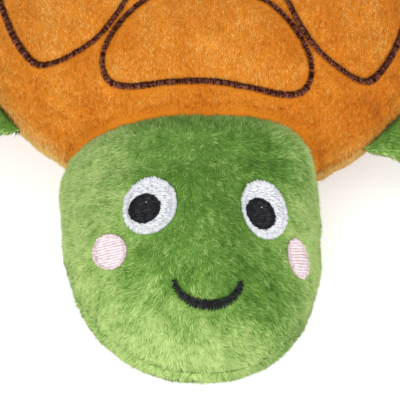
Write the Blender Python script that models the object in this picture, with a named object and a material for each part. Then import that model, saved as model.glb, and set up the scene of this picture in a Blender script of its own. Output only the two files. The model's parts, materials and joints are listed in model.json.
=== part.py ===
"""Plush turtle: a domed shell, a head, four flippers and a tail, each made of sewn covers round a filling.

Metres, +Z up. The turtle looks along -Y and its own left is +X. The origin is the centre of the flat
on which the belly rests.
"""
from typing import NamedTuple

import bmesh
import bpy
import numpy as np

# Cloth, seams and running gaps
PLUSH_WALL = 0.002          # plush cloth with its backing
SEAM_GAP = 0.0003           # between two covers along their seam, and between a cover and its filling
ROOT_GAP = 0.0004           # between a limb's root edge and the rim of the shell
NECK_GAP = 0.0005           # between the head's round back and its seat in the shell
WELD_GAP = 0.000001         # points nearer than this are one point

# Shell
SHELL_HALF_WIDTH = 0.114
SHELL_HALF_LENGTH = 0.120
RIM_HEIGHT = 0.034          # height of the rim seam above the table
DOME_HEIGHT = 0.054         # rim seam to the top of the carapace
BELLY_FLAT_DEPTH = 0.0005   # depth by which the belly is pressed flat
DOME_POWER = 2.2            # roundness of the carapace: 2 is a half oval, more is boxier
BELLY_POWER = 4.0

# Head
HEAD_HALF_WIDTH = 0.0564
HEAD_HALF_HEIGHT = 0.035
HEAD_REACH = 0.0920         # nod axis to the chin
HEAD_SIDE_REACH = 0.026     # nod axis to the point where the straight sides start to round off
HEAD_TABLE_GAP = 0.002      # between the chin panel and the table
HEAD_DRIFT = -0.0055        # the head is sewn on a little to the turtle's right
HEAD_TURN_ANGLE = np.radians(4.3)   # and turned a little to its left, nod axis and all
NECK_INSET = 0.003          # nod axis behind the front edge of the shell
HEAD_LEFT_POWER = 2.9       # roundness of the turtle's left cheek seen from the front
HEAD_RIGHT_POWER = 2.0
HEAD_CHIN_POWER = 2.1       # roundness of the chin seen from above
HEAD_LIFT_ANGLE = np.radians(1.0)
HEAD_LEAN_ANGLE = np.radians(9.0)   # the face leans to the turtle's left, more towards the brow
LEAN_START = -0.005
LEAN_END = 0.045

# Face stitching
STITCH_LIFT = 0.0003        # gap under a stitched patch
PATCH_HEIGHT = 0.001
FACE_DRIFT = 0.0012         # the face is stitched a little to the turtle's left
FACE_TURN_ANGLE = np.radians(-2.4)
FACE_CENTRE_REACH = 0.050   # nod axis to the point about which the face is turned
EYE_SPACING = 0.0471
EYE_REACH = 0.0296
EYE_HALF_WIDTH = 0.0102
EYE_HALF_LENGTH = 0.0136
EYE_LEAN_ANGLE = np.radians(8.0)    # both eyes lean in towards the brow
EYE_SKEW_ANGLE = np.radians(-14.0)  # and both lean to the turtle's left
PUPIL_HALF_WIDTH = 0.0061
PUPIL_HALF_LENGTH = 0.0071
PUPIL_SIDE_STEP = -0.0023   # both pupils look a little to the turtle's right
PUPIL_DOWN_STEP = 0.0020
CHEEK_SPACING = 0.0780
CHEEK_REACH = 0.0480
CHEEK_HALF_WIDTH = 0.0055
CHEEK_HALF_LENGTH = 0.0080
CHEEK_SKEW_ANGLE = np.radians(16.0)
SMILE_HALF_WIDTH = 0.0135
SMILE_REACH = 0.0631        # nod axis to the ends of the smile
SMILE_DEPTH = 0.0099
SMILE_END_WIDTH = 0.0022
SMILE_MID_WIDTH = 0.0042
SMILE_LIP_ANGLE = np.radians(88.0)

# Scute outlines
CORD_WIDTH = 0.0027
CORD_HEIGHT = 0.0010
CORD_TOP_SHARE = 0.5        # flat top of the stitched cord, as a share of its width
SCUTE_DRIFT = 0.0041        # the whole pattern is stitched a little to the turtle's left
SCUTE_SET_BACK = 0.0011     # and a little to the rear
SCUTE_TURN_ANGLE = np.radians(1.7)
FRONT_SCUTE_DRIFT = 0.0004  # the front outline lies a little further left than the rest
RIGHT_SPREAD_SHARE = 0.16   # the right side outlines reach further out, by this share of what lies past half

# Half outlines, front or rear, as shares of the shell's half width and half length
END_SCUTE_SHARES = (
    (0.0, 0.712), (0.15, 0.720), (0.285, 0.728), (0.368, 0.702), (0.396, 0.632), (0.372, 0.556),
    (0.308, 0.472), (0.213, 0.400), (0.10, 0.379), (0.0, 0.375),
)
CENTRE_SCUTE_SHARES = (
    (0.0, 0.338), (0.12, 0.340), (0.215, 0.325), (0.275, 0.25), (0.340, 0.13), (0.378, 0.0),
)
# Whole outline of one side scute
SIDE_SCUTE_SHARES = (
    (0.272, 0.330), (0.303, 0.393), (0.356, 0.480), (0.430, 0.560), (0.530, 0.606), (0.600, 0.612),
    (0.645, 0.584), (0.696, 0.510), (0.739, 0.415), (0.785, 0.270), (0.805, 0.120), (0.770, 0.030),
    (0.660, 0.020), (0.530, 0.020), (0.435, 0.035), (0.388, 0.110), (0.330, 0.220),
)

# Limbs: where they sit on the rim (turned from the front), and their own sizes
ROOT_EDGE_RADIUS = 0.0025   # round edge of a limb at the rim seam, its hinge in its middle
LIMB_RISE_LENGTH = 0.025    # length over which a limb swells from its root to its full thickness
LIMB_DROOP_ANGLE = np.radians(6.0)
FRONT_FLIPPER_ANGLE = np.radians(56.0)
FRONT_FLIPPER_DRIFT_ANGLE = np.radians(2.8)   # the left one is sewn on nearer to the head
FRONT_FLIPPER_LENGTH = 0.080
FRONT_FLIPPER_HALF_WIDTH = 0.0275
FRONT_FLIPPER_HALF_DEPTH = 0.0090
FRONT_SWEEP_LENGTH = 0.028
REAR_FLIPPER_ANGLE = np.radians(130.0)
REAR_FLIPPER_LENGTH = 0.058
REAR_FLIPPER_HALF_WIDTH = 0.0235
REAR_FLIPPER_HALF_DEPTH = 0.0080
REAR_SWEEP_LENGTH = 0.010
TAIL_ANGLE = np.radians(180.0)
TAIL_LENGTH = 0.024
TAIL_HALF_WIDTH = 0.0105
TAIL_HALF_DEPTH = 0.0060
FLIPPER_TAPER_SHARE = 0.25
TAIL_TAPER_SHARE = 0.45
LIMB_ROW_SHARES = (0.14, 0.28, 0.46, 0.64, 0.80, 0.92, 0.98, 1.0)
TAIL_ROW_SHARES = (0.35, 0.65, 0.88, 1.0)

# Faces round and along each form
SHELL_COLUMNS = 40
FILLING_COLUMNS = 20          # half of the shell's, so that its points lie under the cover's own
DOME_ROWS = 8
BELLY_ROWS = 6
HEAD_COLUMNS = 14
FACE_ROWS = 7
NAPE_ROWS = 5
SEAT_SIDES = 36
FLIPPER_COLUMNS = 6
TAIL_COLUMNS = 4
PATCH_SIDES = 20
CORD_POINTS = 40
SMILE_POINTS = 14

BELLY_DEPTH = RIM_HEIGHT + BELLY_FLAT_DEPTH
NECK_X = HEAD_DRIFT
NECK_Y = NECK_INSET - SHELL_HALF_LENGTH
NECK_Z = HEAD_HALF_HEIGHT + HEAD_TABLE_GAP
FILLING_INSET = PLUSH_WALL + SEAM_GAP
QUARTER = np.pi / 2
UP = np.array((0.0, 0.0, 1.0))


class Finish(NamedTuple):
    """A material's colour and how rough it is."""
    colour: tuple
    roughness: float


class Limb(NamedTuple):
    """A flat stuffed limb whose root edge lies along the rim of the shell."""
    turn: float
    length: float
    half_width: float
    half_depth: float
    sweep: float
    taper: float
    columns: int
    row_shares: tuple


FINISHES = {
    "orange_plush": Finish((0.78, 0.30, 0.045), 0.9),
    "green_plush": Finish((0.19, 0.42, 0.07), 0.9),
    "polyester_filling": Finish((0.85, 0.85, 0.82), 0.95),
    "brown_satin_thread": Finish((0.09, 0.030, 0.020), 0.5),
    "white_satin_thread": Finish((0.74, 0.78, 0.84), 0.5),
    "black_satin_thread": Finish((0.012, 0.013, 0.022), 0.45),
    "pink_satin_thread": Finish((0.78, 0.55, 0.55), 0.5),
}
FLIPPERS = {
    "front": Limb(FRONT_FLIPPER_ANGLE, FRONT_FLIPPER_LENGTH, FRONT_FLIPPER_HALF_WIDTH,
                  FRONT_FLIPPER_HALF_DEPTH, FRONT_SWEEP_LENGTH, FLIPPER_TAPER_SHARE,
                  FLIPPER_COLUMNS, LIMB_ROW_SHARES),
    "rear": Limb(REAR_FLIPPER_ANGLE, REAR_FLIPPER_LENGTH, REAR_FLIPPER_HALF_WIDTH,
                 REAR_FLIPPER_HALF_DEPTH, REAR_SWEEP_LENGTH, FLIPPER_TAPER_SHARE,
                 FLIPPER_COLUMNS, LIMB_ROW_SHARES),
}
TAIL = Limb(TAIL_ANGLE, TAIL_LENGTH, TAIL_HALF_WIDTH, TAIL_HALF_DEPTH, 0.0, TAIL_TAPER_SHARE,
            TAIL_COLUMNS, TAIL_ROW_SHARES)
SIDES = {"left": 1.0, "right": -1.0}


def material(slot):
    """The Principled material of one finish, made once."""
    found = bpy.data.materials.get(slot)
    if found:
        return found
    made = bpy.data.materials.new(slot)
    made.use_nodes = True
    shader = made.node_tree.nodes["Principled BSDF"]
    shader.inputs["Base Color"].default_value = (*FINISHES[slot].colour, 1.0)
    shader.inputs["Roughness"].default_value = FINISHES[slot].roughness
    shader.inputs["Metallic"].default_value = 0.0
    return made


def solid(name, slot, patches):
    """One closed solid, welded from point grids of shape (rows, columns, 3) that share their edges."""
    shape = bmesh.new()
    for patch in patches:
        rows, columns = patch.shape[:2]
        points = [shape.verts.new(point) for point in patch.reshape(-1, 3)]
        for row in range(rows - 1):
            for column in range(columns - 1):
                corner = row * columns + column
                ring = (corner, corner + 1, corner + columns + 1, corner + columns)
                shape.faces.new([points[index] for index in ring])
    bmesh.ops.remove_doubles(shape, verts=shape.verts[:], dist=WELD_GAP)
    bmesh.ops.dissolve_degenerate(shape, edges=shape.edges[:], dist=WELD_GAP)
    bmesh.ops.recalc_face_normals(shape, faces=shape.faces[:])
    mesh = bpy.data.meshes.new(name)
    shape.to_mesh(mesh)
    shape.free()
    mesh.shade_smooth()
    mesh.materials.append(material(slot))
    piece = bpy.data.objects.new(name, mesh)
    bpy.context.scene.collection.objects.link(piece)
    return piece


def edge_strips(outer, inner):
    """Strips that join the four edges of one point grid to those of another."""
    pairs = ((outer[0], inner[0]), (outer[-1], inner[-1]),
             (outer[:, 0], inner[:, 0]), (outer[:, -1], inner[:, -1]))
    return [np.stack(pair) for pair in pairs]


def cover(name, slot, sheet, side):
    """A cloth cover: an outer sheet, the same sheet drawn in by the cloth, and the cut edge between them."""
    outer, inner = sheet(0.0, side), sheet(PLUSH_WALL, side)
    return solid(name, slot, [outer, inner, *edge_strips(outer, inner)])


def filling(name, sheet):
    """The filling inside two covers: both sheets drawn in, meeting along the seam."""
    return solid(name, "polyester_filling", [sheet(FILLING_INSET, 1.0, 0.0), sheet(FILLING_INSET, -1.0, 0.0)])


def oval(turns, inset=0.0):
    """Points on the rim's oval, each turned from the front towards the turtle's left."""
    across = (SHELL_HALF_WIDTH - inset) * np.sin(turns)
    along = -(SHELL_HALF_LENGTH - inset) * np.cos(turns)
    return np.stack([across, along, np.zeros_like(turns)], axis=-1)


def shell_rings(tilts, height, power, inset, columns, seam_gap):
    """Rings from the pole (tilt 0) to the rim (a quarter turn); a height below zero makes the belly."""
    turns = np.linspace(0.0, 2 * np.pi, columns + 1)
    spread = np.sin(tilts) ** (2 / power)
    rise = (abs(height) - inset) * np.cos(tilts)
    rise = np.maximum(rise, seam_gap / 2)
    if height < 0:
        rise = -np.minimum(rise, RIM_HEIGHT - inset)
    rings = oval(turns, inset)[None, :, :] * spread[:, None, None]
    rings[:, :, 2] = RIM_HEIGHT + rise[:, None]
    rings[:, -1] = rings[:, 0]
    return rings


def dome_rings(inset, columns=SHELL_COLUMNS, seam_gap=SEAM_GAP):
    """Rings of the carapace."""
    tilts = np.linspace(0.0, QUARTER, DOME_ROWS + 1)
    return shell_rings(tilts, DOME_HEIGHT, DOME_POWER, inset, columns, seam_gap)


def belly_rings(inset, columns=SHELL_COLUMNS, seam_gap=SEAM_GAP):
    """Rings of the belly, with one at the edge of its flat."""
    flat_tilt = np.arccos((RIM_HEIGHT - inset) / (BELLY_DEPTH - inset))
    tilts = np.concatenate([[0.0], np.linspace(flat_tilt, QUARTER, BELLY_ROWS + 1)])
    return shell_rings(tilts, -BELLY_DEPTH, BELLY_POWER, inset, columns, seam_gap)


def head_width_share(across, half_width):
    """How much of the head's height is left at a place across it."""
    reach = np.clip(np.abs(across) / half_width, 0.0, 1.0)
    power = np.where(across > 0.0, HEAD_LEFT_POWER, HEAD_RIGHT_POWER)
    return (1.0 - reach ** power) ** (1 / power)


def turn_about_neck(across, back, height):
    """World points from places to the left, behind and above the nod axis, turned with the head."""
    return np.stack([NECK_X + across * np.cos(HEAD_TURN_ANGLE) - back * np.sin(HEAD_TURN_ANGLE),
                     NECK_Y + across * np.sin(HEAD_TURN_ANGLE) + back * np.cos(HEAD_TURN_ANGLE),
                     NECK_Z + height], axis=-1)


def chin_reach(across, inset):
    """Nod axis to the front edge of the head at a place across it."""
    reach = np.clip(np.abs(across) / (HEAD_HALF_WIDTH - inset), 0.0, 1.0)
    round_share = (1.0 - reach ** HEAD_CHIN_POWER) ** (1 / HEAD_CHIN_POWER)
    return HEAD_SIDE_REACH - inset + (HEAD_REACH - HEAD_SIDE_REACH) * round_share


def place_on_head(across, ahead, above):
    """World points from places across, ahead of and above the nod axis, with the face's growing lean."""
    growth = np.clip((ahead - LEAN_START) / (LEAN_END - LEAN_START), 0.0, 1.0)
    lean = HEAD_LEAN_ANGLE * growth ** 2 * (3 - 2 * growth)
    leaned_across = across * np.cos(lean) + above * np.sin(lean)
    leaned_above = above * np.cos(lean) - across * np.sin(lean)
    back = -ahead * np.cos(HEAD_LIFT_ANGLE) + leaned_above * np.sin(HEAD_LIFT_ANGLE)
    height = ahead * np.sin(HEAD_LIFT_ANGLE) + leaned_above * np.cos(HEAD_LIFT_ANGLE)
    return turn_about_neck(leaned_across, back, height)


def head_sheet(inset, side, seam_gap=SEAM_GAP):
    """Upper (side 1) or lower (side -1) sheet of the head, from the chin seam round to the nape seam.

    Ahead of the nod axis each slice is a rounded pillow. Behind it the slice is a half circle, so the
    back of the head is a body turned about the nod axis.
    """
    half_width = HEAD_HALF_WIDTH - inset
    across = half_width * np.sin(np.linspace(-QUARTER, QUARTER, HEAD_COLUMNS + 1))
    radius = (HEAD_HALF_HEIGHT - inset) * head_width_share(across, half_width)
    face = np.linspace(QUARTER, 0.0, FACE_ROWS + 1)[:-1, None]
    nape = np.linspace(0.0, QUARTER, NAPE_ROWS + 1)[:, None]
    share = 2 / HEAD_CHIN_POWER
    ahead = np.concatenate([chin_reach(across, inset) * np.sin(face) ** share, -radius * np.sin(nape)])
    above = np.concatenate([radius * np.cos(face) ** share, radius * np.cos(nape)])
    above = side * np.maximum(above, seam_gap / 2)
    return place_on_head(np.broadcast_to(across, ahead.shape), ahead, above)


def face_point(across, ahead):
    """A place on the face panel, from its distances across and ahead of the nod axis."""
    reach = np.clip(ahead / chin_reach(across, 0.0), 0.0, 1.0)
    fall = (1.0 - reach ** HEAD_CHIN_POWER) ** (1 / HEAD_CHIN_POWER)
    return place_on_head(across, ahead, HEAD_HALF_HEIGHT * head_width_share(across, HEAD_HALF_WIDTH) * fall)


def outward(surface, first, second, step):
    """Unit normals of a surface of two distances, by small steps each way."""
    along_first = surface(first + step, second) - surface(first - step, second)
    along_second = surface(first, second + step) - surface(first, second - step)
    normal = np.cross(along_first, along_second)
    normal *= np.sign(normal[..., 2:])
    return normal / np.linalg.norm(normal, axis=-1, keepdims=True)


def on_face(across, down):
    """Turn places on the level, centred face into distances across and ahead of the nod axis."""
    below = down - FACE_CENTRE_REACH
    turned_across = across * np.cos(FACE_TURN_ANGLE) + below * np.sin(FACE_TURN_ANGLE)
    turned_down = below * np.cos(FACE_TURN_ANGLE) - across * np.sin(FACE_TURN_ANGLE)
    return FACE_DRIFT + turned_across, FACE_CENTRE_REACH + turned_down


def patch(name, slot, centre, half_sizes, lean=0.0, lift=STITCH_LIFT):
    """A raised oval patch of satin stitching that lies on the face panel."""
    turns = np.linspace(0.0, 2 * np.pi, PATCH_SIDES + 1)
    turns[-1] = 0.0
    shares = np.array([0.0, 0.5, 1.0, 0.9, 0.5, 0.0])[:, None]
    heights = np.array([0.0, 0.0, 0.0, 1.0, 1.0, 1.0])[:, None, None]
    wide = half_sizes[0] * shares * np.sin(turns)
    long = half_sizes[1] * shares * np.cos(turns)
    across, ahead = on_face(centre[0] + wide * np.cos(lean) + long * np.sin(lean),
                            centre[1] + long * np.cos(lean) - wide * np.sin(lean))
    normal = outward(face_point, across, ahead, PATCH_HEIGHT)
    points = face_point(across, ahead) + normal * (lift + PATCH_HEIGHT * heights)
    return solid(name, slot, [points])


def cord(name, slot, path, normal, widths, closed):
    """A stitched cord with a flat base and sloping sides along a path on a surface."""
    ahead = np.roll(path, -1, axis=0) - np.roll(path, 1, axis=0)
    if not closed:
        ahead[0], ahead[-1] = path[1] - path[0], path[-1] - path[-2]
    beside = np.cross(normal, ahead)
    beside /= np.linalg.norm(beside, axis=-1, keepdims=True)
    half_shares = (-1.0, 1.0, CORD_TOP_SHARE, -CORD_TOP_SHARE, -1.0)
    height_shares = (0.0, 0.0, 1.0, 1.0, 0.0)
    lifts = [STITCH_LIFT + CORD_HEIGHT * share for share in height_shares]
    rings = np.stack([path + beside * (half * widths / 2)[:, None] + normal * lift
                      for half, lift in zip(half_shares, lifts)], axis=1)
    if closed:
        return solid(name, slot, [np.concatenate([rings, rings[:1]])])
    ends = [rings[end, [[0, 3], [1, 2]]] for end in (0, -1)]
    return solid(name, slot, [rings, *ends])


def smile():
    """The smile: half an oval that is widest in its middle."""
    turns = np.linspace(-SMILE_LIP_ANGLE, SMILE_LIP_ANGLE, SMILE_POINTS + 1)
    across, ahead = on_face(SMILE_HALF_WIDTH * np.sin(turns), SMILE_REACH + SMILE_DEPTH * np.cos(turns))
    widths = SMILE_END_WIDTH + (SMILE_MID_WIDTH - SMILE_END_WIDTH) * np.cos(turns)
    normal = outward(face_point, across, ahead, PATCH_HEIGHT)
    return cord("smile", "black_satin_thread", face_point(across, ahead), normal, widths, closed=False)


def dome_point(across, along):
    """A place on the carapace above a point of its plan."""
    spread = np.hypot(across / SHELL_HALF_WIDTH, along / SHELL_HALF_LENGTH)
    height = RIM_HEIGHT + DOME_HEIGHT * np.sqrt(1.0 - spread ** DOME_POWER)
    return np.stack([across, along, height], axis=-1)


def smooth_loop(corners, count):
    """A closed smooth curve through corners, as evenly many points between each pair, evened by length."""
    before, after, beyond = (np.roll(corners, -step, axis=0) for step in (-1, 1, 2))
    part = np.linspace(0.0, 1.0, 9)[:-1, None, None]
    curve = 0.5 * (2 * corners + (after - before) * part
                   + (2 * before - 5 * corners + 4 * after - beyond) * part ** 2
                   + (3 * corners - before - 3 * after + beyond) * part ** 3)
    curve = curve.transpose(1, 0, 2).reshape(-1, 2)
    curve = np.concatenate([curve, curve[:1]])
    lengths = np.concatenate([[0.0], np.cumsum(np.linalg.norm(np.diff(curve, axis=0), axis=1))])
    stations = np.linspace(0.0, lengths[-1], count + 1)[:-1]
    return np.stack([np.interp(stations, lengths, curve[:, axis]) for axis in (0, 1)], axis=-1)


def scute(name, corner_shares, drift=SCUTE_DRIFT):
    """One closed scute outline on the carapace, from the shares of its corners."""
    size = np.array((SHELL_HALF_WIDTH, SHELL_HALF_LENGTH))
    plan = smooth_loop(np.array(corner_shares) * size, CORD_POINTS)
    across = drift + plan[:, 0] * np.cos(SCUTE_TURN_ANGLE) + plan[:, 1] * np.sin(SCUTE_TURN_ANGLE)
    along = SCUTE_SET_BACK + plan[:, 1] * np.cos(SCUTE_TURN_ANGLE) - plan[:, 0] * np.sin(SCUTE_TURN_ANGLE)
    normal = outward(dome_point, across, along, CORD_HEIGHT)
    widths = np.full(len(plan), CORD_WIDTH)
    return cord(name, "brown_satin_thread", dome_point(across, along), normal, widths, closed=True)


def mirrored(shares, flip_across=1.0, flip_along=1.0, spread=0.0):
    """Corner shares turned over across or along the shell, spread outwards past half its width."""
    wide = [across + spread * max(across - 0.5, 0.0) for across, _ in shares]
    return [(across * flip_across, along * flip_along) for across, (_, along) in zip(wide, shares)]


def limb_half_depth(station, length, limb, inset):
    """Half the thickness of a limb at each station from its root edge, before its section rounds it."""
    edge = ROOT_EDGE_RADIUS - inset
    growth = np.clip((station - edge) / LIMB_RISE_LENGTH, 0.0, 1.0)
    swell = edge + (limb.half_depth - ROOT_EDGE_RADIUS) * growth ** 2 * (3 - 2 * growth)
    round_edge = np.sqrt(np.clip(2 * edge * station - station ** 2, 0.0, None))
    tip = np.sqrt(np.clip(1.0 - (station / length) ** 4, 0.0, 1.0))
    return np.where(station < edge, round_edge, swell) * tip


def rim_fall(limb, beside):
    """How far the rim falls away from its tangent at a limb's middle, at distances along that tangent."""
    turns = limb.turn + np.linspace(-QUARTER / 2, QUARTER / 2, 65)
    middle, outwards, rearwards = root_frame(limb)
    rim = oval(turns) - middle
    return np.interp(beside, rim @ rearwards, -(rim @ outwards))


def root_frame(limb):
    """The rim point at a limb's middle, the way out from it and the way to the rear along it."""
    turn = np.array(limb.turn)
    outwards = np.array((np.sin(turn) / SHELL_HALF_WIDTH, -np.cos(turn) / SHELL_HALF_LENGTH, 0.0))
    outwards /= np.linalg.norm(outwards)
    return oval(turn), outwards, np.cross(UP, outwards)


def limb_sheet(limb, mirror):
    """The sheet function of a limb: a paddle whose root edge follows the rim of the shell."""
    middle, outwards, rearwards = root_frame(limb)

    def sheet(inset, side, seam_gap=SEAM_GAP):
        edge = ROOT_EDGE_RADIUS - inset
        length = limb.length - 2 * inset
        round_edge = edge * (1 - np.cos([0.0, QUARTER / 2, QUARTER]))
        station = np.concatenate([round_edge, length * np.array(limb.row_shares)])
        share = station / length
        half_width = limb.half_width - inset
        width = half_width * (1 - limb.taper * share) * np.sqrt(np.clip(1.0 - share ** 6, 0.0, 1.0))
        turns = np.linspace(-QUARTER, QUARTER, limb.columns + 1)
        beside = width[:, None] * np.sin(turns)
        above = limb_half_depth(station, length, limb, inset)[:, None] * np.cos(turns)
        above = side * np.maximum(above, seam_gap / 2)
        fall = rim_fall(limb, half_width * np.sin(turns)) * (1 - share[:, None])
        out = inset + station[:, None] - fall - ROOT_EDGE_RADIUS
        swept = beside + limb.sweep * share[:, None] ** 1.6
        level_out = out * np.cos(LIMB_DROOP_ANGLE) + above * np.sin(LIMB_DROOP_ANGLE)
        level_up = above * np.cos(LIMB_DROOP_ANGLE) - out * np.sin(LIMB_DROOP_ANGLE)
        hinge = middle + outwards * (ROOT_GAP + ROOT_EDGE_RADIUS) + UP * RIM_HEIGHT
        away = level_out[..., None] * outwards + swept[..., None] * rearwards + level_up[..., None] * UP
        return (hinge + away) * (mirror, 1.0, 1.0)

    return sheet


def neck_seat():
    """The space that the head's round back turns in: a body turned about the nod axis, a gap larger."""
    half_width = HEAD_HALF_WIDTH + NECK_GAP
    across = half_width * np.sin(np.linspace(-QUARTER, QUARTER, HEAD_COLUMNS + 1))
    radius = (HEAD_HALF_HEIGHT + NECK_GAP) * head_width_share(across, half_width)
    turns = np.linspace(0.0, 2 * np.pi, SEAT_SIDES + 1)
    turns[-1] = 0.0
    back, height = radius[:, None] * np.cos(turns), radius[:, None] * np.sin(turns)
    points = turn_about_neck(np.broadcast_to(across[:, None], back.shape), back, height)
    cutter = solid("neck_seat_cutter", "green_plush", [points])
    cutter.hide_render = True
    cutter.display_type = "WIRE"
    return cutter


def cut(piece, cutter):
    """Cut a piece with a cutter's solid."""
    boolean = piece.modifiers.new("neck_seat", "BOOLEAN")
    boolean.operation = "DIFFERENCE"
    boolean.solver = "EXACT"
    boolean.object = cutter


def make_shell():
    """The two shell covers and the filling, with the neck seat cut through all three."""
    seat = neck_seat()
    for name, rings in (("carapace_cover", dome_rings), ("belly_cover", belly_rings)):
        outer, inner = rings(0.0), rings(PLUSH_WALL)
        cut(solid(name, "orange_plush", [outer, inner, np.stack([outer[-1], inner[-1]])]), seat)
    halves = [rings(FILLING_INSET, FILLING_COLUMNS, 0.0) for rings in (dome_rings, belly_rings)]
    cut(solid("body_filling", "polyester_filling", halves), seat)


def make_scutes():
    """The seven scute outlines: two ends, four sides and the centre."""
    for end, along in (("front", -1.0), ("rear", 1.0)):
        half = mirrored(END_SCUTE_SHARES, 1.0, along)
        other_half = mirrored(END_SCUTE_SHARES[-2:0:-1], -1.0, along)
        scute(f"{end}_scute_outline", half + other_half,
              SCUTE_DRIFT + (FRONT_SCUTE_DRIFT if end == "front" else 0.0))
        for side, across in SIDES.items():
            spread = RIGHT_SPREAD_SHARE if side == "right" else 0.0
            scute(f"{end}_{side}_scute_outline", mirrored(SIDE_SCUTE_SHARES, across, along, spread))
    quarter = list(CENTRE_SCUTE_SHARES)
    half = quarter + mirrored(quarter[-2::-1], 1.0, -1.0)
    scute("centre_scute_outline", half + mirrored(half[-2:0:-1], -1.0, 1.0))


def make_head():
    """The face panel, the chin panel, their filling and the stitched face."""
    cover("head_upper_cover", "green_plush", head_sheet, 1.0)
    cover("head_lower_cover", "green_plush", head_sheet, -1.0)
    filling("head_filling", head_sheet)
    for side, across in SIDES.items():
        eye = (across * EYE_SPACING / 2, EYE_REACH)
        lean = EYE_SKEW_ANGLE + across * EYE_LEAN_ANGLE
        pupil = (eye[0] + PUPIL_SIDE_STEP, eye[1] + PUPIL_DOWN_STEP)
        cheek = (across * CHEEK_SPACING / 2, CHEEK_REACH)
        patch(f"{side}_eye_white", "white_satin_thread", eye, (EYE_HALF_WIDTH, EYE_HALF_LENGTH),
              lean)
        patch(f"{side}_pupil", "black_satin_thread", pupil, (PUPIL_HALF_WIDTH, PUPIL_HALF_LENGTH),
              lean, PATCH_HEIGHT + 2 * STITCH_LIFT)
        patch(f"{side}_cheek", "pink_satin_thread", cheek, (CHEEK_HALF_WIDTH, CHEEK_HALF_LENGTH),
              CHEEK_SKEW_ANGLE)
    smile()


def make_limb(name, slot, limb, mirror):
    """The two covers and the filling of one limb."""
    sheet = limb_sheet(limb, mirror)
    cover(f"{name}_upper_cover", slot, sheet, 1.0)
    cover(f"{name}_lower_cover", slot, sheet, -1.0)
    filling(f"{name}_filling", sheet)


def main():
    """Clear the scene and build the turtle."""
    for leftover in list(bpy.data.objects):
        bpy.data.objects.remove(leftover, do_unlink=True)
    make_shell()
    make_scutes()
    make_head()
    for end, limb in FLIPPERS.items():
        for side, mirror in SIDES.items():
            drift = FRONT_FLIPPER_DRIFT_ANGLE if end == "front" else 0.0
            turned = limb._replace(turn=limb.turn - mirror * drift)
            make_limb(f"{end}_{side}_flipper", "green_plush", turned, mirror)
    make_limb("tail", "green_plush", TAIL, 1.0)


main()
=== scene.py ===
"""The looks of a plush turtle: stuffed cloth, its pile and its satin stitching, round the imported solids.

Metres, +Z up. The turtle looks along -Y and its own left is +X.
"""
from __future__ import annotations

import json
import logging
import math
from dataclasses import dataclass, field
from enum import Enum
from functools import cache
from typing import Callable

import bmesh
import bpy
import numpy as np
from mathutils import Matrix, Vector


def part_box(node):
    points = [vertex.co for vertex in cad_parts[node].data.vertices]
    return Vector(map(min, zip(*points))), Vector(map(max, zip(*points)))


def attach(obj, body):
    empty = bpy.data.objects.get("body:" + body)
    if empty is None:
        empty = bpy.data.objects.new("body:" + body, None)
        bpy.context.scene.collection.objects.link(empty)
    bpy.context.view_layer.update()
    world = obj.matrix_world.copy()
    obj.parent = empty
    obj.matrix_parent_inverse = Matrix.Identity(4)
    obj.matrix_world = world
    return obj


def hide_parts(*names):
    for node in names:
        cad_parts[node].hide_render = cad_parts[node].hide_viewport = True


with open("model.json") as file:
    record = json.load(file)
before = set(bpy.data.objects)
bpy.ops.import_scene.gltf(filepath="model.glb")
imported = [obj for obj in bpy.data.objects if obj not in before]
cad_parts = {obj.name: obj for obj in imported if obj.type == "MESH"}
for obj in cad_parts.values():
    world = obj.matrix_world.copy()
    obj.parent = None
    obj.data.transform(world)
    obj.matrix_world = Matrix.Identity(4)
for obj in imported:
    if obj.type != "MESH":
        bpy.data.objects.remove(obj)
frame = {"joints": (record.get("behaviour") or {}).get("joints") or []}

Array = np.ndarray
MM = 0.001
QUARTER = math.pi / 2
GOLDEN_SHARE = (math.sqrt(5.0) - 1.0) / 2.0
UP = np.array((0.0, 0.0, 1.0))
TINY = 1e-9
WELD_GAP = 0.002 * MM
SEAM_GAP = 0.3 * MM
PITCH_SPREAD = (0.6, 1.5)
FOOT_REACH, CREST_REACH, TIP_REACH = 0.05, 0.6, 1.0
RING_ANGLES = np.radians((-90.0, -33.0, 33.0, 90.0))
SQUARE = np.array(((0.06, 0.06), (0.94, 0.06), (0.94, 0.94), (0.06, 0.94), (0.5, 0.5)))
log = logging.getLogger("turtle")


class Side(Enum):
    """The turtle's own left and right, as signs along X."""

    LEFT = 1.0
    RIGHT = -1.0


class Layer(Enum):
    """The upper and the lower cover of a stuffed part, as signs along Z."""

    UPPER = 1.0
    LOWER = -1.0


def unit(vectors: Array) -> Array:
    """Vectors at length one.

    Args:
        vectors: Any array whose last axis holds x, y and z.

    Returns:
        The same ways, each divided by its length.
    """
    return vectors / np.maximum(np.linalg.norm(vectors, axis=-1, keepdims=True), TINY)


def along_surface(ways: Array, normals: Array) -> Array:
    """Ways laid down on a surface: each loses its part along the normal.

    Args:
        ways: Directions to lay down.
        normals: Unit normals of the surface at the same places.

    Returns:
        Unit directions that are square to the normals.
    """
    return unit(ways - normals * (ways * normals).sum(axis=-1, keepdims=True))


def turned(ways: Array, normals: Array, angles: Array) -> Array:
    """Ways turned about the normals: way times cosine plus normal cross way times sine.

    Args:
        ways: Unit directions on the surface.
        normals: Unit normals to turn about.
        angles: One angle for each way, in radians.

    Returns:
        The turned unit directions.
    """
    angles = np.asarray(angles)[..., None]
    return ways * np.cos(angles) + np.cross(normals, ways) * np.sin(angles)


def eased(value: Array, start: float, end: float) -> Array:
    """A smooth step: 0 up to start, 1 from end on, and 3t² - 2t³ in between.

    Args:
        value: What the step is read at.
        start: Where it leaves 0.
        end: Where it reaches 1.

    Returns:
        Shares from 0 to 1.
    """
    share = np.clip((value - start) / (end - start), 0.0, 1.0)
    return share * share * (3.0 - 2.0 * share)


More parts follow.
